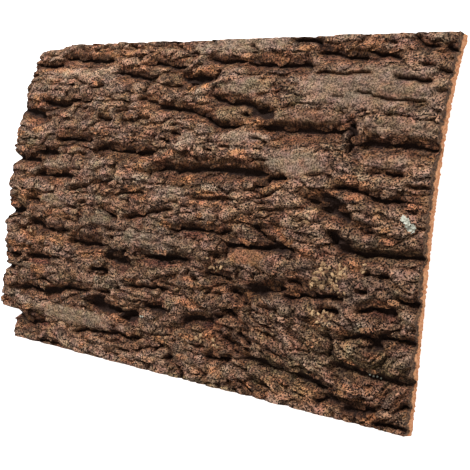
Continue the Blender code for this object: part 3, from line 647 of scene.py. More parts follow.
def furrows(x, y):
    """Depth, slits, walls and shade of all the furrows. The deepest and the darkest win,
    and a brow stands up from whatever is there."""
    depth, slit, wall, shade = (np.zeros(x.shape) for _ in range(4))
    wavy_x = x + wave(x, y, FURROW_ALONG, 301)
    wavy_y = y + wave(x, y, FURROW_ACROSS, 302) + wave(x, y, FURROW_FINE, 303)
    for deepest, lip, slope, path in FURROWS:
        reach = DOME_REACH * max(ROLL_WIDTH * lip, slope) + DOME_MARGIN + PATH_MARGIN
        px, py = zip(*path)
        near = (x > min(px) - reach) & (x < max(px) + reach)
        near &= (y > min(py) - reach) & (y < max(py) + reach)
        if not near.any():
            continue
        fall, *dark = one_furrow(wavy_x[near], wavy_y[near], deepest, lip, slope, path)
        depth[near] = np.where(fall < 0, depth[near] + fall, np.maximum(depth[near], fall))
        for kept, found in zip((slit, wall, shade), dark):
            kept[near] = np.maximum(kept[near], found)
    return depth, slit, wall, shade


def left_end(y):
    """The x of the broken left end: straight between the points of its line, plus noise."""
    ys, xs = np.array(LEFT_END, float).T
    line = np.interp(y, ys, xs) + 1.5 * noise(y / 5, 3, 71) + 2.5 * noise(y / 14, 5, 72)
    return np.maximum(line, -HALF_LENGTH)


def arch(y):
    """Height of the back across the grain: one less the square of the way out from the
    middle, steeper towards the top edge, and zero at both long edges."""
    k = np.clip(y / HALF_WIDTH, -1, 1)
    return ARCH_RISE * (1 - k * k) * (1 + ARCH_LEAN * k)


def back_height(y):
    """Height of the back: the arch between two feet that lie flat at zero."""
    inner = HALF_WIDTH - FOOT_WIDTH
    rise = np.clip((inner - np.abs(y)) / FOOT_STEP, 0, 1)
    start = inner - FOOT_STEP
    return rise * arch(np.clip(y, -start, start))


def in_lower_right(x, y):
    """From 0 to 1, how far a place is into the lower right, where the grain leans."""
    start_x, start_y = LEAN_START
    margin_x, margin_y = LEAN_MARGIN
    inside = smooth((x - start_x) / margin_x) * smooth((start_y - y) / margin_y)
    return inside * smooth((HALF_LENGTH - x) / margin_x)


def border(edge, width):
    """1 on the border of two cells, falling to 0 a little past the width."""
    return smooth(1.15 - edge / width)


def relief(x, y, end, ridge):
    """Thickness of the bark at each place, and marks from 0 to 1 that its colours follow.

    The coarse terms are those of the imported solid: swell, clods, gullies, hollows and its
    deep furrows. Smaller furrows, gaps, flakes, nubs, granules, chinks, slits and the
    fluting of the furrow walls are added. Gaps, flakes, granules and chinks are fainter on
    calm zones. Clods and flakes are cells that differ in height, bulge in the middle and tilt
    so that their lower rims stand out.
    """
    depth, slit, wall, shade = furrows(x, y)
    calm = zone(x, y, CALM_ZONES, 0.2)
    lower_right = in_lower_right(x, y)
    grain_x = x + wave(x, y, GRAIN_ALONG, 11) + wave(x, y, FINE_ALONG, 14)
    grain_y = y + wave(x, y, GRAIN_ACROSS, 12) + wave(x, y, GRAIN_WOBBLE, 13)
    grain_y = grain_y + wave(x, y, FINE_ACROSS, 15) + LEAN * lower_right * (x - LEAN_PIVOT)
    clod_edge, clod, clod_across = cells(grain_x / CLOD_LENGTH, grain_y / CLOD_WIDTH, 21)
    flake_edge, flake, flake_across = cells(grain_x / FLAKE_LENGTH, grain_y / FLAKE_WIDTH, 31)

    # how rough and how crumbly a place is, and the openings between clods and flakes
    rough = 1 - DEPTH_LOSS * np.clip(depth / DEPTH_FULL, 0, 1)
    rough = rough * (1 - CALM_LOSS * calm) * (1 - WALL_LOSS * wall)
    crumbly = smooth(wave(x, y, CRUMBLY_PATCHES, 67) + 0.5)
    crumbly = rough * (LEAST_CRUMBLY + (1 - LEAST_CRUMBLY) * crumbly)
    gap = border(clod_edge, GAP_WIDTH) * smooth(wave(x, y, GAP_PATCHES, 65) + 0.35) * rough
    chink = border(flake_edge, CHINK_WIDTH) * smooth(wave(x, y, CHINK_PATCHES, 68) + 0.15)
    chink = chink * (1 - CALM_CHINK_LOSS * calm)
    shaded_hollow = zone(grain_x, grain_y, HOLLOWS, 0.2)
    nub = np.abs(wave(grain_x, grain_y, NUB, 82)) ** NUB_POWER - 0.5
    burl_x, burl_y, burl_reach = BURL
    burl = smooth(1.3 - np.hypot(x - burl_x, y - burl_y) / burl_reach)

    # heights of the clods, the flakes, the fluted walls and the granules
    raised = CLOD_STEP * (clod - 0.5) + CLOD_BULGE * smooth(clod_edge / CLOD_BULGE_REACH)
    raised = raised - CLOD_TILT * clod_across
    raised = raised - gully(grain_x, grain_y, BRAID, 61) - gully(grain_x, grain_y, STRAND, 62) - 1
    fine = FLAKE_STEP * (flake - 0.5) + FLAKE_BULGE * smooth(flake_edge / FLAKE_BULGE_REACH)
    fine = fine - FLAKE_TILT * flake_across + NUB_STEP * nub
    strips = lower_right * gully(grain_x, grain_y, STRIP, 63)
    fluting = wall * (1 - slit) * (wave(x, y, FLUTE_FINE, 52) + wave(x, y, FLUTE_COARSE, 54))
    granule = wave(x, y, GRANULE_FINE, 53) + wave(x, y, GRANULE_COARSE, 51)
    granule = granule + burl * (1 + 2.5 * nub)

    t = ridge + wave(x, y, SWELL, 41) + rough * raised - depth
    t = t + crumbly * (1 - WALL_FLAKE_LOSS * wall) * fine + fluting
    t = t + granule * (1 - CALM_GRANULE_LOSS * calm) - strips
    t = t - GAP_DEPTH * gap - CHINK_DEPTH * chink - SLIT_DEPTH * slit - HOLLOW_DEPTH * shaded_hollow
    rim = 1 - smooth((x - end) / LEFT_RIM_WIDTH + 0.1)
    t = t - LEFT_RIM_DROP * rim * smooth((t - LEFT_RIM_LEAST) / LEFT_RIM_FULL)
    t = t - EDGE_WEAR * (1 - smooth((HALF_WIDTH - np.abs(y)) / EDGE_WEAR_WIDTH))
    spare = THICKNESS_SHARPNESS * (t - LEAST_THICKNESS)
    t = LEAST_THICKNESS + np.logaddexp(0, spare) / THICKNESS_SHARPNESS

    # painted shade: the deep mark darkens the colour in slits, in the shade about the furrows, in hollows,
    # gaps and chinks
    deep = SLIT_PAINTED_SHADE * slit + SHADE_DARK * shade + HOLLOW_PAINTED_SHADE * shaded_hollow
    deep = deep + GAP_PAINTED_SHADE * gap + CHINK_PAINTED_SHADE * chink
    marks = {
        "deep": np.clip(deep, 0, 1),
        "wall": wall,
        "plate": clod,
        "flake": flake,
        "calm": calm,
        "high": smooth((t - LOW_FACE) / (HIGH_FACE - LOW_FACE)),
        "flow": np.stack([grain_x, grain_y, t], axis=-1) * MM,
    }
    return t, marks


def place(x, y, t):
    """Where a point of the outer face lies: on the arch at its thickness, held softly under
    the ceiling. High parts are sheared down over the furrow below them, and the top left
    corner is broken low."""
    room = CEILING_SHARPNESS * (CEILING - arch(y) - t)
    z = CEILING - np.logaddexp(0, room) / CEILING_SHARPNESS
    fade = smooth((HALF_WIDTH - np.abs(y)) / OVERHANG_FADE)
    y = y - OVERHANG * fade * (t - OVERHANG_LEVEL)
    return np.stack([x, y - corner_drop(x, y), z], axis=-1)


def corner_drop(x, y):
    """How far the broken corner lies below the straight edge."""
    drop_at, drop = np.array(CORNER_DROP, float).T
    return np.interp(x, drop_at, drop) * smooth((y - CORNER_START) / CORNER_FADE)


def grid_quads(index):
    """Quads between neighbours of an index grid."""
    corners = (index[:-1, :-1], index[:-1, 1:], index[1:, 1:], index[1:, :-1])
    return np.stack(corners, axis=-1).reshape(-1, 4)


def repeated(faces, copies, points_each):
    """The faces of one small thing, repeated for copies whose points follow one another."""
    shift = (np.arange(copies) * points_each)[:, None, None]
    return (faces[None] + shift).reshape(-1, faces.shape[1])


def make_piece(name, points, faces, materials, marks=None, kinds=None, sharp=50):
    """A mesh object at the origin from points in millimetres and lists of faces.

    Marks are numbers for each point that the materials read, kinds say which material each
    face has, and edges sharper than the angle stay crisp. The flow mark is a place, in
    metres, that the bark's patterns are drawn on; without one it is the point's own place.
    """
    mesh = bpy.data.meshes.new(name)
    listed = [face for group in faces for face in group.tolist()]
    metres = np.asarray(points).reshape(-1, 3) * MM
    mesh.from_pydata(metres.tolist(), [], listed)
    for mark, values in {"flow": metres, **(marks or {})}.items():
        kind, field = ("FLOAT_VECTOR", "vector") if mark == "flow" else ("FLOAT", "value")
        layer = mesh.attributes.new(mark, kind, "POINT")
        layer.data.foreach_set(field, np.ravel(values).astype(np.float32))
    for material in materials:
        mesh.materials.append(material)
    if kinds is not None:
        mesh.polygons.foreach_set("material_index", kinds.astype(np.int32))
    mesh.shade_smooth()
    mesh.set_sharp_from_angle(angle=math.radians(sharp))
    mesh.update()
    piece = bpy.data.objects.new(name, mesh)
    bpy.context.scene.collection.objects.link(piece)
    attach(piece, BODY)
    return piece


def rim_of(index):
    """The outermost places of an index grid, once round, starting along its first row."""
    sides = (index[0, :-1], index[:-1, -1], index[-1, :0:-1], index[:0:-1, 0])
    return np.concatenate(sides)


def colour_marks(x, y):
    """How tan, grey, olive or red the bark is at each place, from the listed patches, and how
    bright the painted light is: half is plain, more in broad painted light, less in broad painted shade."""
    tables = {"tan": TAN_PATCHES, "pale": GREY_PATCHES, "olive": OLIVE_PATCHES, "red": RED_PATCHES}
    marks = {name: zone(x, y, table) for name, table in tables.items()}
    # painted light and painted shade over broad areas
    marks["painted_light_level"] = 0.5 + 0.5 * zone(x, y, PAINTED_LIGHT_AREAS) - 0.5 * zone(x, y, PAINTED_SHADE_AREAS)
    return marks


def slab_front(ridge):
    """Points and marks of the outer face on a grid that follows the broken left end."""
    shares = np.linspace(0, 1, COLUMNS + 1)
    across, y = np.meshgrid(shares, np.linspace(-HALF_WIDTH, HALF_WIDTH, ROWS + 1))
    end = left_end(y)
    ragged = 0.7 * noise(y / 4, 9, 73) + 0.6 * noise(y / 1.7, 9, 74)
    x = end + (HALF_LENGTH - SAW_LEAN + ragged - end) * across
    t, marks = relief(x, y, end, ridge)
    front = place(x, y, t)
    marks.update(colour_marks(x, front[..., 1]))
    return x, y, front, marks


def slab_back(x, y):
    """Points of the arched back on the coarse grid, drawn in a little from the edges, with
    shallow ripples along the grain that fade out on the feet."""
    x = x[::COARSER, ::COARSER]
    y = y[::COARSER, ::COARSER]
    middle = (x[:, :1] + x[:, -1:]) / 2
    half = (x[:, -1:] - x[:, :1]) / 2
    x = middle + (x - middle) * (half - BACK_INSET) / half
    y = y * (HALF_WIDTH - BACK_INSET) / HALF_WIDTH
    y = y - corner_drop(x, y)
    z = back_height(y)
    ripple = wave(x, y, BACK_RIPPLE, 501) + wave(x, y, BACK_RIPPLE_FINE, 502)
    z = z + ripple * np.clip(z / BACK_RIPPLE_START, 0, 1)
    return np.stack([x, y, z], axis=-1)


def slab_walls(front, x, y, rim):
    """Points of the walls below the rim of the outer face, band by band down to the back,
    and which of them are broken.

    The sawn walls stand upright and are grainy, and the right one is chipped. The broken
    left end bulges and is ragged.
    """
    top = front.reshape(-1, 3)[rim]
    foot_x, foot_y = x.ravel()[rim], y.ravel()[rim]
    foot_x = np.where(foot_x > HALF_LENGTH - 2 * SAW_LEAN, HALF_LENGTH, foot_x)
    foot_y = foot_y - corner_drop(foot_x, foot_y)
    foot = np.stack([foot_x, foot_y, back_height(foot_y)], axis=-1)
    sides = np.repeat(np.arange(4), (COLUMNS, ROWS, COLUMNS, ROWS))
    out = np.array([(0, -1, 0), (1, 0, 0), (0, 1, 0), (-1, 0, 0)], float)[sides]
    sawn_end, broken = sides == 1, sides == 3
    bands = []
    for band in range(1, WALL_BANDS + 1):
        points = top + (foot - top) * (band / WALL_BANDS)
        grain = 0.5 * noise(points[:, 0] / 3, points[:, 1] / 3 + 9 * band, 510) - 0.3
        bulge = 2.2 * noise(points[:, 1] / 12, 5 * band, 511) - 1.0
        push = np.where(broken, bulge, grain) * (band < WALL_BANDS)
        points = points + push[:, None] * out
        chips = 1.6 * noise(points[:, 1] / 2.6, 7 * band, 512) + 0.8 * noise(points[:, 1] / 7, 3, 513)
        points[:, 0] = points[:, 0] + (chips + 0.3) * sawn_end
        bands.append(points)
    return np.stack(bands), broken


def stitch(fine, coarse):
    """Triangles that close the strip between a fine loop and a loop COARSER times coarser."""
    near = coarse
    far = np.roll(coarse, -1)
    f = [np.roll(fine, -k)[::COARSER] for k in range(COARSER + 1)]
    groups = (
        (f[0], near, f[1]), (f[1], near, f[2]), (f[2], near, far), (f[2], far, f[3]), (f[3], far, f[4]),
    )
    return np.concatenate([np.stack(group, axis=1) for group in groups])


def build_slab(sizes, colours):
    """The whole panel as one closed mesh: outer face, walls, and the coarser arched back."""
    x, y, front, marks = slab_front(sizes.ridge)
    index = np.arange(front[..., 0].size).reshape(front.shape[:2])
    rim = rim_of(index)
    bands, broken = slab_walls(front, x, y, rim)
    back = slab_back(x, y)
    wall_index = index.size + np.arange(bands[..., 0].size).reshape(bands.shape[:2])
    back_index = wall_index.max() + 1 + np.arange(back[..., 0].size).reshape(back.shape[:2])

    loops = np.concatenate([rim[None], wall_index])
    wall_quads = grid_quads(np.concatenate([loops, loops[:, :1]], axis=1))[:, [0, 3, 2, 1]]
    closing = stitch(wall_index[-1], rim_of(back_index))
    faces = [grid_quads(index), wall_quads, closing, grid_quads(back_index)[:, ::-1]]
    wall_kinds = np.where(np.tile(broken, WALL_BANDS), 0, 1)
    kinds = np.concatenate([
        np.zeros(len(faces[0])), wall_kinds, np.full(len(closing) + len(faces[3]), 2),
    ])

    # the walls take the marks of the rim above them, and the rind fades out down the walls
    flow = marks.pop("flow").reshape(-1, 3)
    flow = np.concatenate([flow, bands.reshape(-1, 3) * MM, back.reshape(-1, 3) * MM])
    all_marks = {"flow": flow}
    none_on_back = np.zeros(back_index.size)
    for mark, values in marks.items():
        walls = np.tile(values.ravel()[rim], WALL_BANDS)
        all_marks[mark] = np.concatenate([values.ravel(), walls, none_on_back])
    rind = np.repeat(1 - np.arange(1, WALL_BANDS + 1) / WALL_BANDS, len(rim))
    all_marks["rind"] = np.concatenate([np.ones(index.size), rind, none_on_back])

    points = np.concatenate([front.reshape(-1, 3), bands.reshape(-1, 3), back.reshape(-1, 3)])
    materials = [bark_material(colours), sawn_material(colours), peeled_material(colours)]
    piece = make_piece("bark_slab", points, faces, materials, all_marks, kinds)
    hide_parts(NODE)


def surface_at(x, y, ridge, step=1.5):
    """Points of the outer face, and their outward normals from neighbours a step away."""
    end = left_end(y)
    near = [
        place(x + dx, y + dy, relief(x + dx, y + dy, end, ridge)[0])
        for dx, dy in ((0, 0), (step, 0), (-step, 0), (0, step), (0, -step))
    ]
    middle, east, west, north, south = near
    return middle, unit(np.cross(east - west, north - south))


def lens_grids(rows, columns):
    """Places of a closed lens in a square from -1 to 1, its top and its underside sharing
    their rim, and its faces."""
    u, v = np.meshgrid(np.linspace(-1, 1, columns), np.linspace(-1, 1, rows))
    top = np.arange(rows * columns).reshape(rows, columns)
    under = top.copy()
    inner = rows * columns + np.arange((rows - 2) * (columns - 2)).reshape(rows - 2, columns - 2)
    under[1:-1, 1:-1] = inner
    faces = np.concatenate([grid_quads(top), grid_quads(under)[:, ::-1]])
    us = np.concatenate([u.ravel(), u[1:-1, 1:-1].ravel()])
    vs = np.concatenate([v.ravel(), v[1:-1, 1:-1].ravel()])
    side = np.concatenate([np.ones(u.size), -np.ones(inner.size)])
    return us, vs, side, faces


# Loose scales: their seed, how far below them the bark is compared, the drop that counts in
# full, how many places are tried for each, how near an edge they sit, how much calm zones
# count against them, and how much luck counts
SCALE_SEED = 11
SCALE_LOOK = 4.5
SCALE_DROP = 7.0
SCALE_TRIES = 9
SCALE_MARGIN = 8.0
SCALE_EDGE = 6.0
SCALE_CALM_LOSS = 0.6
SCALE_LUCK = 0.45

# The form of a scale: half its least length, its width in parts of its length, its lift, its
# spread of direction in degrees, and its fray. The last is the share of scales that are tan.
SCALE_LEAST = 3.5
SCALE_WIDTH = (0.22, 0.42)
SCALE_LIFT = (0.4, 2.0)
SCALE_TURN = 14
SCALE_FRAY = 0.22
SCALE_TAN_SHARE = 0.22


def scale_places(count, ridge):
    """Seeded places for loose scales: many are tried, and those are kept where the bark
    drops most below them, less on calm zones. Also returns the random source."""
    rng = np.random.default_rng(SCALE_SEED)
    tries = count * SCALE_TRIES
    x = rng.uniform(-HALF_LENGTH + SCALE_MARGIN, HALF_LENGTH - SCALE_EDGE, tries)
    y = rng.uniform(-HALF_WIDTH + SCALE_EDGE, HALF_WIDTH - SCALE_EDGE, tries)
    keep = x > left_end(y) + SCALE_MARGIN
    x, y = x[keep], y[keep]
    end = left_end(y)
    here, marks = relief(x, y, end, ridge)
    below = relief(x, y - SCALE_LOOK, end, ridge)[0]
    weight = np.clip((here - below) / SCALE_DROP, 0, 1) - SCALE_CALM_LOSS * marks["calm"]
    weight = weight + rng.uniform(0, SCALE_LUCK, x.size)
    best = np.argsort(-weight)[:count]
    return x[best], y[best], rng


def build_scales(sizes, colours):
    """Loose scales: thin curved lenses, rooted at their upper rim and lifted at the lower.

    In a square from -1 to 1 a scale's outline is a rounded rectangle with a frayed rim; its
    height is the lift times the 1.5th power of the way down from the root, plus or minus
    half the thickness where it is thickest.
    """
    x, y, rng = scale_places(sizes.scale_count, sizes.ridge)
    middle, normal = surface_at(x, y, sizes.ridge, 2.5)
    n = len(x)
    tall = unit(0.55 * normal + np.array([0, 0, 0.45]))
    turn = np.radians(rng.normal(0, SCALE_TURN, n))
    run = np.stack([np.cos(turn), np.sin(turn), np.zeros(n)], axis=-1)
    run = unit(run - tall * (run * tall).sum(axis=-1, keepdims=True))
    up = np.cross(tall, run)
    half_long = rng.uniform(SCALE_LEAST, sizes.scale_length, n)[:, None]
    half_wide = (half_long[:, 0] * rng.uniform(*SCALE_WIDTH, n) + 0.6)[:, None]
    lift = rng.uniform(*SCALE_LIFT, n)[:, None]

    us, vs, side, faces = lens_grids(4, 6)
    square = np.maximum(np.abs(us), np.abs(vs))
    round_off = 0.35 + 0.65 * (square / np.maximum(np.hypot(us, vs), 1e-6))
    angle = np.arctan2(vs, us)
    fray = 1 + SCALE_FRAY * noise(angle * 1.6 + 7, np.arange(n)[:, None] * 3.1, 601) * square
    a = us * round_off * fray * half_long
    b = vs * round_off * fray * half_wide
    height = lift * ((1 - vs) / 2) ** 1.5 - 0.5 + side * 0.5 * (1 - square ** 2)
    height = height + 0.5 * noise(us * 1.3 + 3, np.arange(n)[:, None] * 2.3, 602)
    points = middle[:, None] + a[..., None] * run[:, None] + b[..., None] * up[:, None]
    points = points + height[..., None] * tall[:, None]
    points[..., 2] = np.minimum(points[..., 2], CEILING)

    marks = colour_marks(x, middle[:, 1])
    warm = np.where(rng.uniform(0, 1, n) < SCALE_TAN_SHARE, rng.uniform(0.5, 1, n), 0)
    marks["tan"] = np.maximum(marks["tan"], warm)
    marks["plate"] = rng.uniform(0, 1, n)
    marks["flake"] = rng.uniform(0, 1, n)
    # painted shade: each scale takes the wall, deep and height marks of the bark under it, so scales on
    # shaded walls are painted dark too
    below = relief(x, y, left_end(y), sizes.ridge)[1]
    for name, share in (("wall", 0.9), ("deep", 0.6), ("high", 1.0)):
        marks[name] = share * below[name]
    marks = {name: np.repeat(values, len(us)) for name, values in marks.items()}
    quads = repeated(faces, n, len(us))
    make_piece("loose_scales", points, [quads], [bark_material(colours)], marks)


# The burl in the lower right: its middle and half-width
BURL = (197, -58, 24)

# Nests of cork crumbs, at the burl and elsewhere: (x, y, half length, half width, count)
CRUMB_SPOTS = (
    (213, -50, 8, 6, 40), (194, -50, 8, 5, 26), (204, -66, 12, 7, 36), (184, -64, 8, 8, 26),
    (199, -100, 10, 7, 18), (182, -98, 7, 5, 10), (171, -4, 4, 4, 6), (238, -48, 8, 5, 8),
    (-248, -56, 14, 6, 10), (60, -150, 20, 6, 10), (55, -60, 14, 8, 10),
)

# Crumbs: their seed, how they gather about the middle of a nest, half a size, and their form
CRUMB_SEED = 23
CRUMB_GATHER = 0.55
CRUMB_HALF = (0.6, 2.1)
CRUMB_FORM = (1.6, 0.9, 0.6)

# Lobes of pale lichen: (x, y, half-width)
LICHEN_LOBES = (
    (276, 9, 3.2), (279, 7, 3.2), (282, 5, 2.2), (283, 0, 3.4), (286, -1, 3.6), (287, 3, 2.6),
    (280, 3, 1.6), (-43, -136.5, 1.3), (-39, -136, 1.2), (252, -150.5, 1.0), (256, -151, 1.0),
    (260, -151.5, 1.0), (264, -152, 0.9),
)
LICHEN_SEED = 31


def fan(centre, loop):
    """Triangles from one point to each step of a closed loop, whose first point comes again."""
    return np.column_stack([np.full(len(loop) - 1, centre), loop[:-1], loop[1:]])


def build_crumbs(sizes, colours):
    """Crumbs of cork at the burl and in a few other nests: angular clods.

    Each is a sphere of few faces whose radius is one plus about two thirds of a noise of
    its direction, drawn out, squashed, turned at random and sunk by half into the bark.
    """
    rings, around = 5, 8
    rng = np.random.default_rng(CRUMB_SEED)
    places = []
    for px, py, long_half, short_half, count in CRUMB_SPOTS:
        spread = rng.normal(0, CRUMB_GATHER, (count, 2)) * (long_half, short_half)
        places.append(np.column_stack([px + spread[:, 0], py + spread[:, 1]]))
    x, y = np.concatenate(places).T
    n = len(x)
    middle, normal = surface_at(x, y, sizes.ridge)

    polar = np.linspace(0, math.pi, rings + 1)[1:-1]
    turn = np.linspace(0, 2 * math.pi, around, endpoint=False)
    theta, phi = np.meshgrid(polar, turn, indexing="ij")
    ball = np.stack([np.sin(theta) * np.cos(phi), np.sin(theta) * np.sin(phi), np.cos(theta)], axis=-1)
    ball = np.concatenate([ball.reshape(-1, 3), [[0, 0, 1], [0, 0, -1]]])
    index = np.arange((rings - 1) * around).reshape(rings - 1, around)
    index = np.concatenate([index, index[:, :1]], axis=1)
    north = fan(len(ball) - 2, index[0])
    south = fan(len(ball) - 1, index[-1, ::-1])
    sides = grid_quads(index)[:, ::-1]

    which = np.arange(n)[:, None] * 5.3
    dent = 1 + 0.65 * noise(ball[:, 0] * 1.9 + which, ball[:, 1] * 1.9 + ball[:, 2] * 1.3, 611)
    radius = rng.uniform(*CRUMB_HALF, (n, 1, 1)) * np.array(CRUMB_FORM)
    clods = ball * dent[..., None] * radius
    angle = rng.uniform(0, math.pi, (n, 1))
    turned_x = clods[..., 0] * np.cos(angle) - clods[..., 1] * np.sin(angle)
    turned_y = clods[..., 0] * np.sin(angle) + clods[..., 1] * np.cos(angle)
    clods = np.stack([turned_x, turned_y, clods[..., 2]], axis=-1)
    points = middle[:, None] + clods + 0.3 * normal[:, None]
    points[..., 2] = np.minimum(points[..., 2], CEILING)
    faces = [repeated(group, n, len(ball)) for group in (sides, north, south)]
    marks = {"plate": np.repeat(rng.uniform(0, 1, n), len(ball))}
    make_piece("cork_crumbs", points, faces, [crumb_material(colours)], marks, sharp=30)


def build_lichen(sizes, colours):
    """Lobed crusts of lichen: round discs with a wavy rim that curls up a little.

    The outline's radius is one plus a fifth of a wave of five to eight lobes and an eighth
    of a wave of three. The disc is thickest in the middle and thins to nothing at its rim.
    """
    rings, around = 4, 20
    rng = np.random.default_rng(LICHEN_SEED)
    x, y, half = np.array(LICHEN_LOBES).T
    n = len(x)
    middle, normal = surface_at(x, y, sizes.ridge, 2.5)
    turn = np.linspace(0, 2 * math.pi, around, endpoint=False)
    r, phi = np.meshgrid(np.linspace(0, 1, rings + 1)[1:], turn, indexing="ij")
    lobes = rng.integers(5, 9, n)[:, None, None]
    start = rng.uniform(0, 6, n)[:, None, None]
    reach = 1 + 0.2 * np.sin(phi * lobes + start) * r ** 2 + 0.12 * np.sin(phi * 3 + 2 * start) * r
    flat = r * reach * half[:, None, None]
    tall = unit(normal + np.array([0, 0, 0.6]))
    run = unit(np.cross([0, 1, 0], tall))
    up = np.cross(tall, run)
    rise = 0.9 + 0.9 * r ** 3 + 0.35 * np.sin(phi * lobes * 2 + start) * r ** 2

    sheets = []
    poles = []
    for side in (1, -1):
        height = rise + side * 0.35 * (1 - r ** 4)
        sheet = middle[:, None, None] + (flat * np.cos(phi))[..., None] * run[:, None, None]
        sheet = sheet + (flat * np.sin(phi))[..., None] * up[:, None, None]
        sheets.append(sheet + height[..., None] * tall[:, None, None])
        poles.append((middle + (0.9 + side * 0.35) * tall)[:, None])
    top = sheets[0].reshape(n, -1, 3)
    under = sheets[1][:, :-1].reshape(n, -1, 3)
    points = np.concatenate([top, under] + poles, axis=1)

    # the top and the underside share the rim, and each closes with a fan round its pole
    top_index = np.arange(rings * around).reshape(rings, around)
    under_index = rings * around + np.arange((rings - 1) * around).reshape(-1, around)
    under_index = np.concatenate([under_index, top_index[-1:]])
    pole = points.shape[1] - 2
    faces = []
    for index, flip, centre in ((top_index, 1, pole), (under_index, -1, pole + 1)):
        loop = np.concatenate([index, index[:, :1]], axis=1)
        faces += [grid_quads(loop)[:, ::-1][:, ::flip], fan(centre, loop[0])[:, ::flip]]
    faces = [repeated(group, n, points.shape[1]) for group in faces]
    make_piece("lichen_crust", points, faces, [lichen_material(colours)])


def add(tree, kind, inputs=(), out=0, **settings):
    """Add a node with its settings, and its inputs as values or links; return one output."""
    node = tree.nodes.new(kind)
    for name, value in settings.items():
        setattr(node, name, value)
    for key, value in dict(inputs).items():
        if isinstance(value, bpy.types.NodeSocket):
            tree.links.new(value, node.inputs[key])
        else:
            node.inputs[key].default_value = value
    return node.outputs[out]


def maths(tree, operation, *values):
    """One step of arithmetic on numbers or sockets."""
    return add(tree, "ShaderNodeMath", enumerate(values), operation=operation)


def ramp(tree, source, start, end, low=0, high=1):
    """A straight ramp from low to high while the source goes from start to end."""
    return add(tree, "ShaderNodeMapRange", {0: source, 1: start, 2: end, 3: low, 4: high})


def blend(tree, share, first, second):
    """Two colours mixed by a share: 0 gives the first, and 1 the second."""
    return add(tree, "ShaderNodeMix", {0: share, 6: first, 7: second}, out=2, data_type="RGBA")


def stretched(tree, where, factors, shift=0):
    """Places multiplied by factors: below 1, patterns are drawn out along that axis."""
    return add(tree, "ShaderNodeMapping", {0: where, 1: (shift, shift, 0), 3: factors})


def grain_of(tree, where, size_mm, detail, roughness, out=0):
    """A noise whose features have a real size in millimetres."""
    inputs = {0: where, 2: per_metre(size_mm), 3: detail, 4: roughness}
    return add(tree, "ShaderNodeTexNoise", inputs, out=out)


def mark_of(tree, name):
    """A number that the mesh holds for each of its points."""
    return add(tree, "ShaderNodeAttribute", out=2, attribute_name=name)


def per_metre(size_mm):
    """Noise scale for features of a real size in millimetres."""
    return 1000.0 / size_mm


def solid(colour):
    """A colour property as the four numbers that a colour socket takes."""
    return (colour[0], colour[1], colour[2], 1.0)


def new_material(name, roughness, specular):
    """An empty material with a dull shader; returns it, its tree and its shader node."""
    material = bpy.data.materials.new(name)
    material.use_nodes = True
    tree = material.node_tree
    shader = tree.nodes["Principled BSDF"]
    shader.inputs["Roughness"].default_value = roughness
    shader.inputs["Specular IOR Level"].default_value = specular
    return material, tree, shader


def surface(tree, shader, colour, height, strength, deep_mm):
    """Give a shader its colour, and fine unevenness of a real depth from a height."""
    tree.links.new(colour, shader.inputs["Base Color"])
    bump = add(tree, "ShaderNodeBump", {"Height": height, "Strength": strength, "Distance": deep_mm * MM})
    tree.links.new(bump, shader.inputs["Normal"])


def thin_line(tree, off, half_width):
    """1 on a line and 0 beside it, from how far off the line a place is."""
    return ramp(tree, off, 0.35 * half_width, half_width, 1, 0)


def flow_grain(tree, flow, size_mm, stretch, shift):
    """A noise drawn out along the flow of the relief."""
    return grain_of(tree, stretched(tree, flow, (stretch, 1, 1), shift), size_mm, 2, 0.55)


def middle_line(tree, source, half_width):
    """Thin crooked lines wherever a noise is at its middle, half a width in its own units."""
    off = maths(tree, "ABSOLUTE", maths(tree, "SUBTRACT", source, 0.5))
    return thin_line(tree, off, half_width)


def plate_edges(tree, flow, size_mm, half_width, stretch):
    """Cracks between small angular plates: 1 on the border of two cells and 0 beside it."""
    inputs = {0: stretched(tree, flow, (stretch, 1, 1)), "Scale": per_metre(size_mm)}
    off = add(tree, "ShaderNodeTexVoronoi", inputs, feature="DISTANCE_TO_EDGE")
    return thin_line(tree, off, half_width)


BARK_MARKS = ("deep", "wall", "plate", "flake", "calm", "high", "tan", "pale", "olive", "red", "painted_light_level")


def bark_sources(tree):
    """The marks of the mesh and the noises that the bark's colour and unevenness follow."""
    of = {name: mark_of(tree, name) for name in BARK_MARKS}
    where = add(tree, "ShaderNodeTexCoord", out=3)
    flow = add(tree, "ShaderNodeAttribute", out=1, attribute_name="flow")
    stir = grain_of(tree, where, 5, 1, 0.6, out=1)
    stirred = {0: stir, 1: (4 * MM, 4 * MM, 4 * MM), 2: flow}
    flow = add(tree, "ShaderNodeVectorMath", stirred, operation="MULTIPLY_ADD")
    of["grit"] = grain_of(tree, where, 1.8, 1, 0.7)
    of["hues"] = grain_of(tree, where, 14, 3, 0.6, out=1)
    of["mottle"] = grain_of(tree, stretched(tree, flow, (0.65, 1, 1)), 15, 4, 0.6)
    of["rib"] = grain_of(tree, stretched(tree, where, (1, 0.16, 0.16)), 2.8, 1, 0.6)
    of["broad"] = flow_grain(tree, flow, 13, 0.48, 0)
    of["streak"] = flow_grain(tree, flow, 8, 0.6, 1)
    of["dash"] = flow_grain(tree, flow, 3.4, 0.7, 2)
    of["long_line"] = middle_line(tree, of["broad"], 0.05)
    of["short_line"] = middle_line(tree, of["dash"], 0.1)
    of["plate_line"] = plate_edges(tree, flow, 17, 0.05, 0.55)
    # 1 on the rolled walls of the furrows
    of["roll"] = ramp(tree, of["wall"], 0.03, 0.35)
    return of


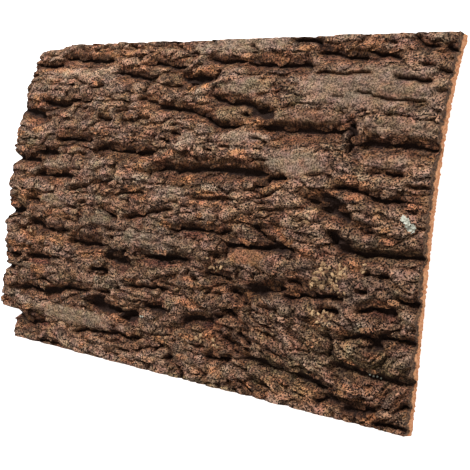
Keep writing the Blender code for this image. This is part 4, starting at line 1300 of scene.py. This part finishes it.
def bark_tints(tree, of, colours):
    """Brown to grey by weather, darker brown where low as painted shade, and tints in patches over it."""
    weather = maths(tree, "MULTIPLY_ADD", of["high"], 0.30, -0.06)
    for name, weight in (("plate", 0.2), ("calm", 0.15), ("mottle", 0.8), ("streak", 0.4)):
        weather = maths(tree, "MULTIPLY_ADD", of[name], weight, weather)
    weather = ramp(tree, weather, 0.6, 1.05)
    colour = blend(tree, weather, solid(colours.brown), solid(colours.grey))
    # painted shade: low places are mixed towards the shaded hollow colour
    low = ramp(tree, of["high"], 0.7, 0.1, 0, 0.75)
    colour = blend(tree, low, colour, solid(colours.shaded_hollow))
    # each tint shows where its mark and a noise together go from a start to a full value
    layers = (
        ("flake", colours.tan, "streak", 1.20, 1.70, 0.35),
        ("wall", colours.wall, "mottle", 0.85, 1.45, 0.9),
        ("pale", colours.pale, "streak", 0.75, 1.45, 0.55),
        ("olive", colours.olive, "mottle", 0.75, 1.45, 0.5),
        ("red", colours.red, "streak", 0.75, 1.35, 0.6),
        ("tan", colours.tan, "streak", 0.85, 1.55, 0.8),
    )
    for name, tint, source, start, full, most in layers:
        share = maths(tree, "MULTIPLY_ADD", of[source], 1.2, of[name])
        share = maths(tree, "MULTIPLY_ADD", of["dash"], 0.3, share)
        colour = blend(tree, ramp(tree, share, start, full, 0, most), colour, solid(tint))
    return colour


def bark_shading(tree, of, colour):
    """An even ground with darker pits and strokes, fainter on calm places and on rolled
    walls, painted shade down the furrow walls, broad painted light and painted shade, calm
    places a little darker, and a slow drift of hue."""
    faint = maths(tree, "MULTIPLY_ADD", of["calm"], 0.4, 0)
    faint = maths(tree, "MULTIPLY_ADD", of["roll"], 0.2, faint)
    # the wall entry is painted shade down the furrow walls; the painted light level is broad painted light
    # and painted shade
    shades = (
        ("grit", 0.41, 0.56, faint, 1.56), ("dash", 0.36, 0.5, 0.88, 1.05),
        ("streak", 0.36, 0.6, 0.9, 1.08), ("wall", 0.1, 0.85, 1.1, 0.4),
        ("painted_light_level", 0, 1, 0.72, 1.28), ("calm", 0, 1, 1.05, 0.78),
    )
    for name, start, end, low, high in shades:
        bright = ramp(tree, of[name], start, end, low, high)
        colour = add(tree, "ShaderNodeVectorMath", {0: colour, 3: bright}, operation="SCALE")
    drift = {0: of["hues"], 1: (0.45, 0.35, 0.52), 2: (0.68, 0.69, 0.6)}
    drift = add(tree, "ShaderNodeVectorMath", drift, operation="MULTIPLY_ADD")
    return add(tree, "ShaderNodeVectorMath", {0: colour, 1: drift}, operation="MULTIPLY")


def bark_cracks(tree, of):
    """Hair cracks: long ones everywhere, borders of plates and short ones in patches, all
    fainter on calm places, and ribs on the rolled walls."""
    hair = maths(tree, "MULTIPLY", of["long_line"], 0.75)
    in_patches = (("plate_line", "mottle", 0.47, 0.56, 0.7), ("short_line", "broad", 0.46, 0.6, 0.3))
    for name, source, start, full, most in in_patches:
        patchy = ramp(tree, of[source], start, full, 0, most)
        hair = maths(tree, "MAXIMUM", hair, maths(tree, "MULTIPLY", of[name], patchy))
    whole = maths(tree, "MULTIPLY_ADD", of["calm"], -0.5, 1.0)
    hair = maths(tree, "MULTIPLY", hair, whole)
    rib = ramp(tree, of["rib"], 0.50, 0.40, 0, 0.85)
    return maths(tree, "MAXIMUM", hair, maths(tree, "MULTIPLY", rib, of["roll"]))


def bark_material(colours):
    """Outer bark of a mature furrowed trunk, weathered and never coated.

    Dull corky brown, greyer where rain and light reach it, warm tan where a scale has come
    off, with painted near-black shade in the slits, gaps and hollows. Patterns follow the
    flow of the relief. Hair cracks of three sizes run through it, and the rolled walls of the
    furrows are ribbed across.
    """
    material, tree, shader = new_material("weathered_furrowed_bark", 0.88, 0.2)
    of = bark_sources(tree)
    colour = bark_shading(tree, of, bark_tints(tree, of, colours))
    hair = bark_cracks(tree, of)
    # painted shade: the deep mark mixes the colour towards near black, as do the hair cracks
    dark = ramp(tree, of["deep"], 0.1, 0.8, 0, 0.97)
    dark = maths(tree, "MAXIMUM", dark, maths(tree, "MULTIPLY", hair, 0.9))
    colour = blend(tree, dark, colour, solid(colours.crack_and_shade))
    rough = ramp(tree, of["grit"], 0.3, 0.7, 0.97, 0.72)
    tree.links.new(rough, shader.inputs["Roughness"])
    height = maths(tree, "MULTIPLY_ADD", of["streak"], 0.9, of["dash"])
    height = maths(tree, "MULTIPLY_ADD", of["grit"], 0.15, height)
    height = maths(tree, "MULTIPLY_ADD", hair, -0.7, height)
    surface(tree, shader, colour, height, 1.0, 1.2)
    return material


def sawn_material(colours):
    """Inner bark across a saw cut: granular orange tan, with a pitted brown rind just under
    the weathered face."""
    material, tree, shader = new_material("sawn_inner_bark", 0.85, 0.25)
    where = add(tree, "ShaderNodeTexCoord", out=3)
    grain = grain_of(tree, where, 3, 5, 0.7)
    blotch = grain_of(tree, where, 7, 3, 0.65)
    share = ramp(tree, grain, 0.34, 0.66)
    colour = blend(tree, share, solid(colours.sawn_dark), solid(colours.sawn_light))
    pitted = ramp(tree, grain, 0.4, 0.6)
    bark = blend(tree, pitted, solid(colours.crack_and_shade), solid(colours.brown))
    share = maths(tree, "MULTIPLY_ADD", blotch, 0.9, mark_of(tree, "rind"))
    colour = blend(tree, ramp(tree, share, 0.88, 1.0), colour, bark)
    surface(tree, shader, colour, grain, 0.9, 1.0)
    return material


def peeled_material(colours):
    """Inner face of bark that was peeled from the wood: long flat fibres, reddish tan, with
    broad brown stains."""
    material, tree, shader = new_material("peeled_inner_bark", 0.8, 0.3)
    where = add(tree, "ShaderNodeTexCoord", out=3)
    fibre = grain_of(tree, stretched(tree, where, (0.05, 1, 1)), 3, 5, 0.65)
    stain = grain_of(tree, where, 60, 4, 0.6)
    share = ramp(tree, fibre, 0.3, 0.7)
    colour = blend(tree, share, solid(colours.peeled_dark), solid(colours.peeled_light))
    share = ramp(tree, stain, 0.5, 0.72, 0, 0.75)
    colour = blend(tree, share, colour, solid(colours.brown))
    surface(tree, shader, colour, fibre, 0.9, 0.9)
    return material


def crumb_material(colours):
    """Crumbling cork: dull cream to tan, one shade a crumb, with fine grit."""
    material, tree, shader = new_material("crumbled_cork", 0.9, 0.2)
    where = add(tree, "ShaderNodeTexCoord", out=3)
    grit = grain_of(tree, where, 2, 3, 0.6)
    colour = blend(tree, mark_of(tree, "plate"), solid(colours.crumb_dark), solid(colours.crumb))
    bright = ramp(tree, grit, 0.3, 0.7, 0.6, 1.3)
    colour = add(tree, "ShaderNodeVectorMath", {0: colour, 3: bright}, operation="SCALE")
    surface(tree, shader, colour, grit, 0.8, 0.6)
    return material


def lichen_material(colours):
    """Leafy lichen, dry: matt pale grey green, powdery and whiter in spots."""
    material, tree, shader = new_material("dry_leaf_lichen", 0.95, 0.15)
    where = add(tree, "ShaderNodeTexCoord", out=3)
    powder = grain_of(tree, where, 2.2, 4, 0.7)
    share = ramp(tree, powder, 0.35, 0.65)
    colour = blend(tree, share, solid(colours.lichen_dark), solid(colours.lichen))
    surface(tree, shader, colour, powder, 0.8, 0.5)
    return material


def floor_material(colours):
    """White acrylic table, lit faintly from below as on a studio light table."""
    material, _, shader = new_material("white_light_table", 0.7, 0.2)
    shader.inputs["Base Color"].default_value = solid(colours.floor)
    shader.inputs["Emission Color"].default_value = (1, 1, 1, 1)
    shader.inputs["Emission Strength"].default_value = 0.85
    return material


class BarkSizes(bpy.types.PropertyGroup):
    """Sizes and counts of the fine relief and the loose details."""

    ridge: bpy.props.FloatProperty(
        name="Ridge thickness", description="Thickness of the bark at its ridges, in mm",
        default=17.0, min=12.0, max=20.0,
    )
    scale_count: bpy.props.IntProperty(
        name="Loose scales", description="How many loose scales there are",
        default=520, min=10, max=2000,
    )
    scale_length: bpy.props.FloatProperty(
        name="Longest scale", description="Half the length of the longest scale, in mm",
        default=10.0, min=4.0, max=20.0,
    )


def hue(label, meaning, code):
    """A colour setting with its default from an sRGB hex value."""
    return bpy.props.FloatVectorProperty(
        name=label, description=meaning, subtype="COLOR", size=3, min=0, max=1, default=linear(code),
    )


class BarkColours(bpy.types.PropertyGroup):
    """Colours of the bark and what grows on it."""

    brown: hue("Brown", "Cork in the shade of the ridges", "#73533A")
    grey: hue("Weathered", "Cork greyed by the weather", "#8F7562")
    pale: hue("Pale", "The most weathered plates", "#A28D78")
    tan: hue("Tan", "Bare cork where a scale came off", "#9E6C49")
    # painted shade: the dark brown that low places are mixed towards
    shaded_hollow: hue("Hollow", "Low places between the ridges", "#4E2D1A")
    wall: hue("Wall", "Walls of the furrows", "#754A2B")
    olive: hue("Olive", "Thin green growth", "#766A4C")
    red: hue("Red", "Damp reddish cork", "#66362A")
    # painted shade: near black for the shadow in slits, gaps and hollows, also the hair cracks and the
    # rind's pits
    crack_and_shade: hue("Crevice", "Bottom of the slits", "#1C0C05")
    sawn_light: hue("Sawn, light", "Sawn inner bark", "#DDA678")
    sawn_dark: hue("Sawn, dark", "Layers in the sawn inner bark", "#A8623B")
    peeled_light: hue("Peeled, light", "Fibres of the back", "#B58257")
    peeled_dark: hue("Peeled, dark", "Between the fibres of the back", "#7A4A30")
    crumb: hue("Crumb", "Crumbled cork", "#C2A078")
    crumb_dark: hue("Crumb, dark", "Darker crumbs", "#6A4832")
    lichen: hue("Lichen", "Powdery lichen", "#D6D5C6")
    lichen_dark: hue("Lichen, dark", "Hollows of the lichen", "#8E8F80")
    floor: hue("Floor", "The table", "#F2F2F2")


class BarkStudio(bpy.types.PropertyGroup):
    """The light."""

    key: bpy.props.FloatProperty(
        name="Key light", description="Strength of the main light", default=4.1, min=0.0, max=20.0,
    )
    key_height: bpy.props.FloatProperty(
        name="Key height", description="How high the main light stands", default=math.radians(40),
        subtype="ANGLE", unit="ROTATION",
    )
    fill: bpy.props.FloatProperty(
        name="Fill light", description="Strength of the second light", default=0.5, min=0.0, max=20.0,
    )
    sky: bpy.props.FloatProperty(
        name="Surroundings", description="Brightness of the white room", default=0.36, min=0.0, max=3.0,
    )


class BARK_OT_slab(bpy.types.Operator):
    """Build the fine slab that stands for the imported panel"""

    bl_idname = "bark.slab"
    bl_label = "Bark slab"

    def execute(self, context):
        build_slab(context.scene.bark_sizes, context.scene.bark_colours)
        return {"FINISHED"}


class BARK_OT_scales(bpy.types.Operator):
    """Build the loose scales along the lips of the furrows"""

    bl_idname = "bark.scales"
    bl_label = "Loose scales"

    def execute(self, context):
        build_scales(context.scene.bark_sizes, context.scene.bark_colours)
        return {"FINISHED"}


class BARK_OT_crumbs(bpy.types.Operator):
    """Build the crumbs of cork at the burl and in a few other nests"""

    bl_idname = "bark.crumbs"
    bl_label = "Cork crumbs"

    def execute(self, context):
        build_crumbs(context.scene.bark_sizes, context.scene.bark_colours)
        return {"FINISHED"}


class BARK_OT_lichen(bpy.types.Operator):
    """Build the lichen near the sawn end and at two furrows"""

    bl_idname = "bark.lichen"
    bl_label = "Lichen"

    def execute(self, context):
        build_lichen(context.scene.bark_sizes, context.scene.bark_colours)
        return {"FINISHED"}


class BARK_OT_studio(bpy.types.Operator):
    """Build the pale floor, the light and the camera"""

    bl_idname = "bark.studio"
    bl_label = "Studio"

    def execute(self, context):
        build_studio(context.scene)
        return {"FINISHED"}


# The camera: where it stands, in metres, how it is turned, in degrees, and its lens
CAMERA_PLACE = (0.589143, -0.053692, 0.779592)
CAMERA_TURN = (7.305670, 33.580424, 10.118731)
CAMERA_LENS = 62.808
CAMERA_SENSOR = 36.0

# Half the side of the floor, in metres
FLOOR_REACH = 20.0

# How wide the two lights are as seen from the panel, in degrees
KEY_SPREAD = 14
FILL_SPREAD = 60


def stand(name, data, scene):
    """A new object in the scene for a mesh, a light or a camera."""
    made = bpy.data.objects.new(name, data)
    scene.collection.objects.link(made)
    return made


def build_studio(scene):
    """A wide pale floor under the panel, one main light from above the upper edge, a weak
    fill from the front, a white room, and the camera of the photograph."""
    studio = scene.bark_studio
    corners = [(sx * FLOOR_REACH, sy * FLOOR_REACH, 0) for sx, sy in ((-1, -1), (1, -1), (1, 1), (-1, 1))]
    mesh = bpy.data.meshes.new("floor")
    mesh.from_pydata(corners, [], [(0, 1, 2, 3)])
    mesh.materials.append(floor_material(scene.bark_colours))
    floor = stand("floor", mesh, scene)

    key_towards = (-0.22, math.cos(studio.key_height), math.sin(studio.key_height))
    lights = (
        ("key_light", studio.key, key_towards, KEY_SPREAD),
        ("fill_light", studio.fill, (0.5, -0.55, 0.9), FILL_SPREAD),
    )
    for name, strength, towards, spread in lights:
        data = bpy.data.lights.new(name, "SUN")
        data.energy = strength
        data.angle = math.radians(spread)
        light = stand(name, data, scene)
        light.rotation_euler = Vector(towards).to_track_quat("Z", "Y").to_euler()

    room = bpy.data.worlds.new("white_room")
    room.use_nodes = True
    background = room.node_tree.nodes["Background"]
    background.inputs["Color"].default_value = (1, 1, 1, 1)
    background.inputs["Strength"].default_value = studio.sky
    scene.world = room

    data = bpy.data.cameras.new("camera")
    data.lens = CAMERA_LENS
    data.sensor_width = CAMERA_SENSOR
    camera = stand("camera", data, scene)
    camera.location = CAMERA_PLACE
    camera.rotation_euler = [math.radians(angle) for angle in CAMERA_TURN]
    scene.camera = camera
    scene.view_settings.view_transform = "Standard"


class BARK_PT_panel(bpy.types.Panel):
    """Sizes, colours and steps of the bark panel"""

    bl_idname = "BARK_PT_panel"
    bl_label = "Bark panel"
    bl_space_type = "VIEW_3D"
    bl_region_type = "UI"
    bl_category = "Bark Panel"

    def draw(self, context):
        for group in (getattr(context.scene, name) for name in GROUPS):
            box = self.layout.box()
            for name in group.bl_rna.properties.keys():
                if name not in ("rna_type", "name"):
                    box.prop(group, name)
        for step in STEPS:
            self.layout.operator(step.bl_idname)


STEPS = (BARK_OT_slab, BARK_OT_scales, BARK_OT_crumbs, BARK_OT_lichen, BARK_OT_studio)
GROUPS = {"bark_sizes": BarkSizes, "bark_colours": BarkColours, "bark_studio": BarkStudio}


def register():
    """Register the settings, the steps and the sidebar panel."""
    for name, group in GROUPS.items():
        bpy.utils.register_class(group)
        setattr(bpy.types.Scene, name, bpy.props.PointerProperty(type=group))
    for made in STEPS + (BARK_PT_panel,):
        bpy.utils.register_class(made)


def unregister():
    """Take them away again."""
    for made in (BARK_PT_panel,) + STEPS[::-1]:
        bpy.utils.unregister_class(made)
    for name, group in GROUPS.items():
        delattr(bpy.types.Scene, name)
        bpy.utils.unregister_class(group)


def main():
    register()
    for step in STEPS:
        group, action = step.bl_idname.split(".")
        getattr(getattr(bpy.ops, group), action)()


if __name__ == "__main__":
    main()
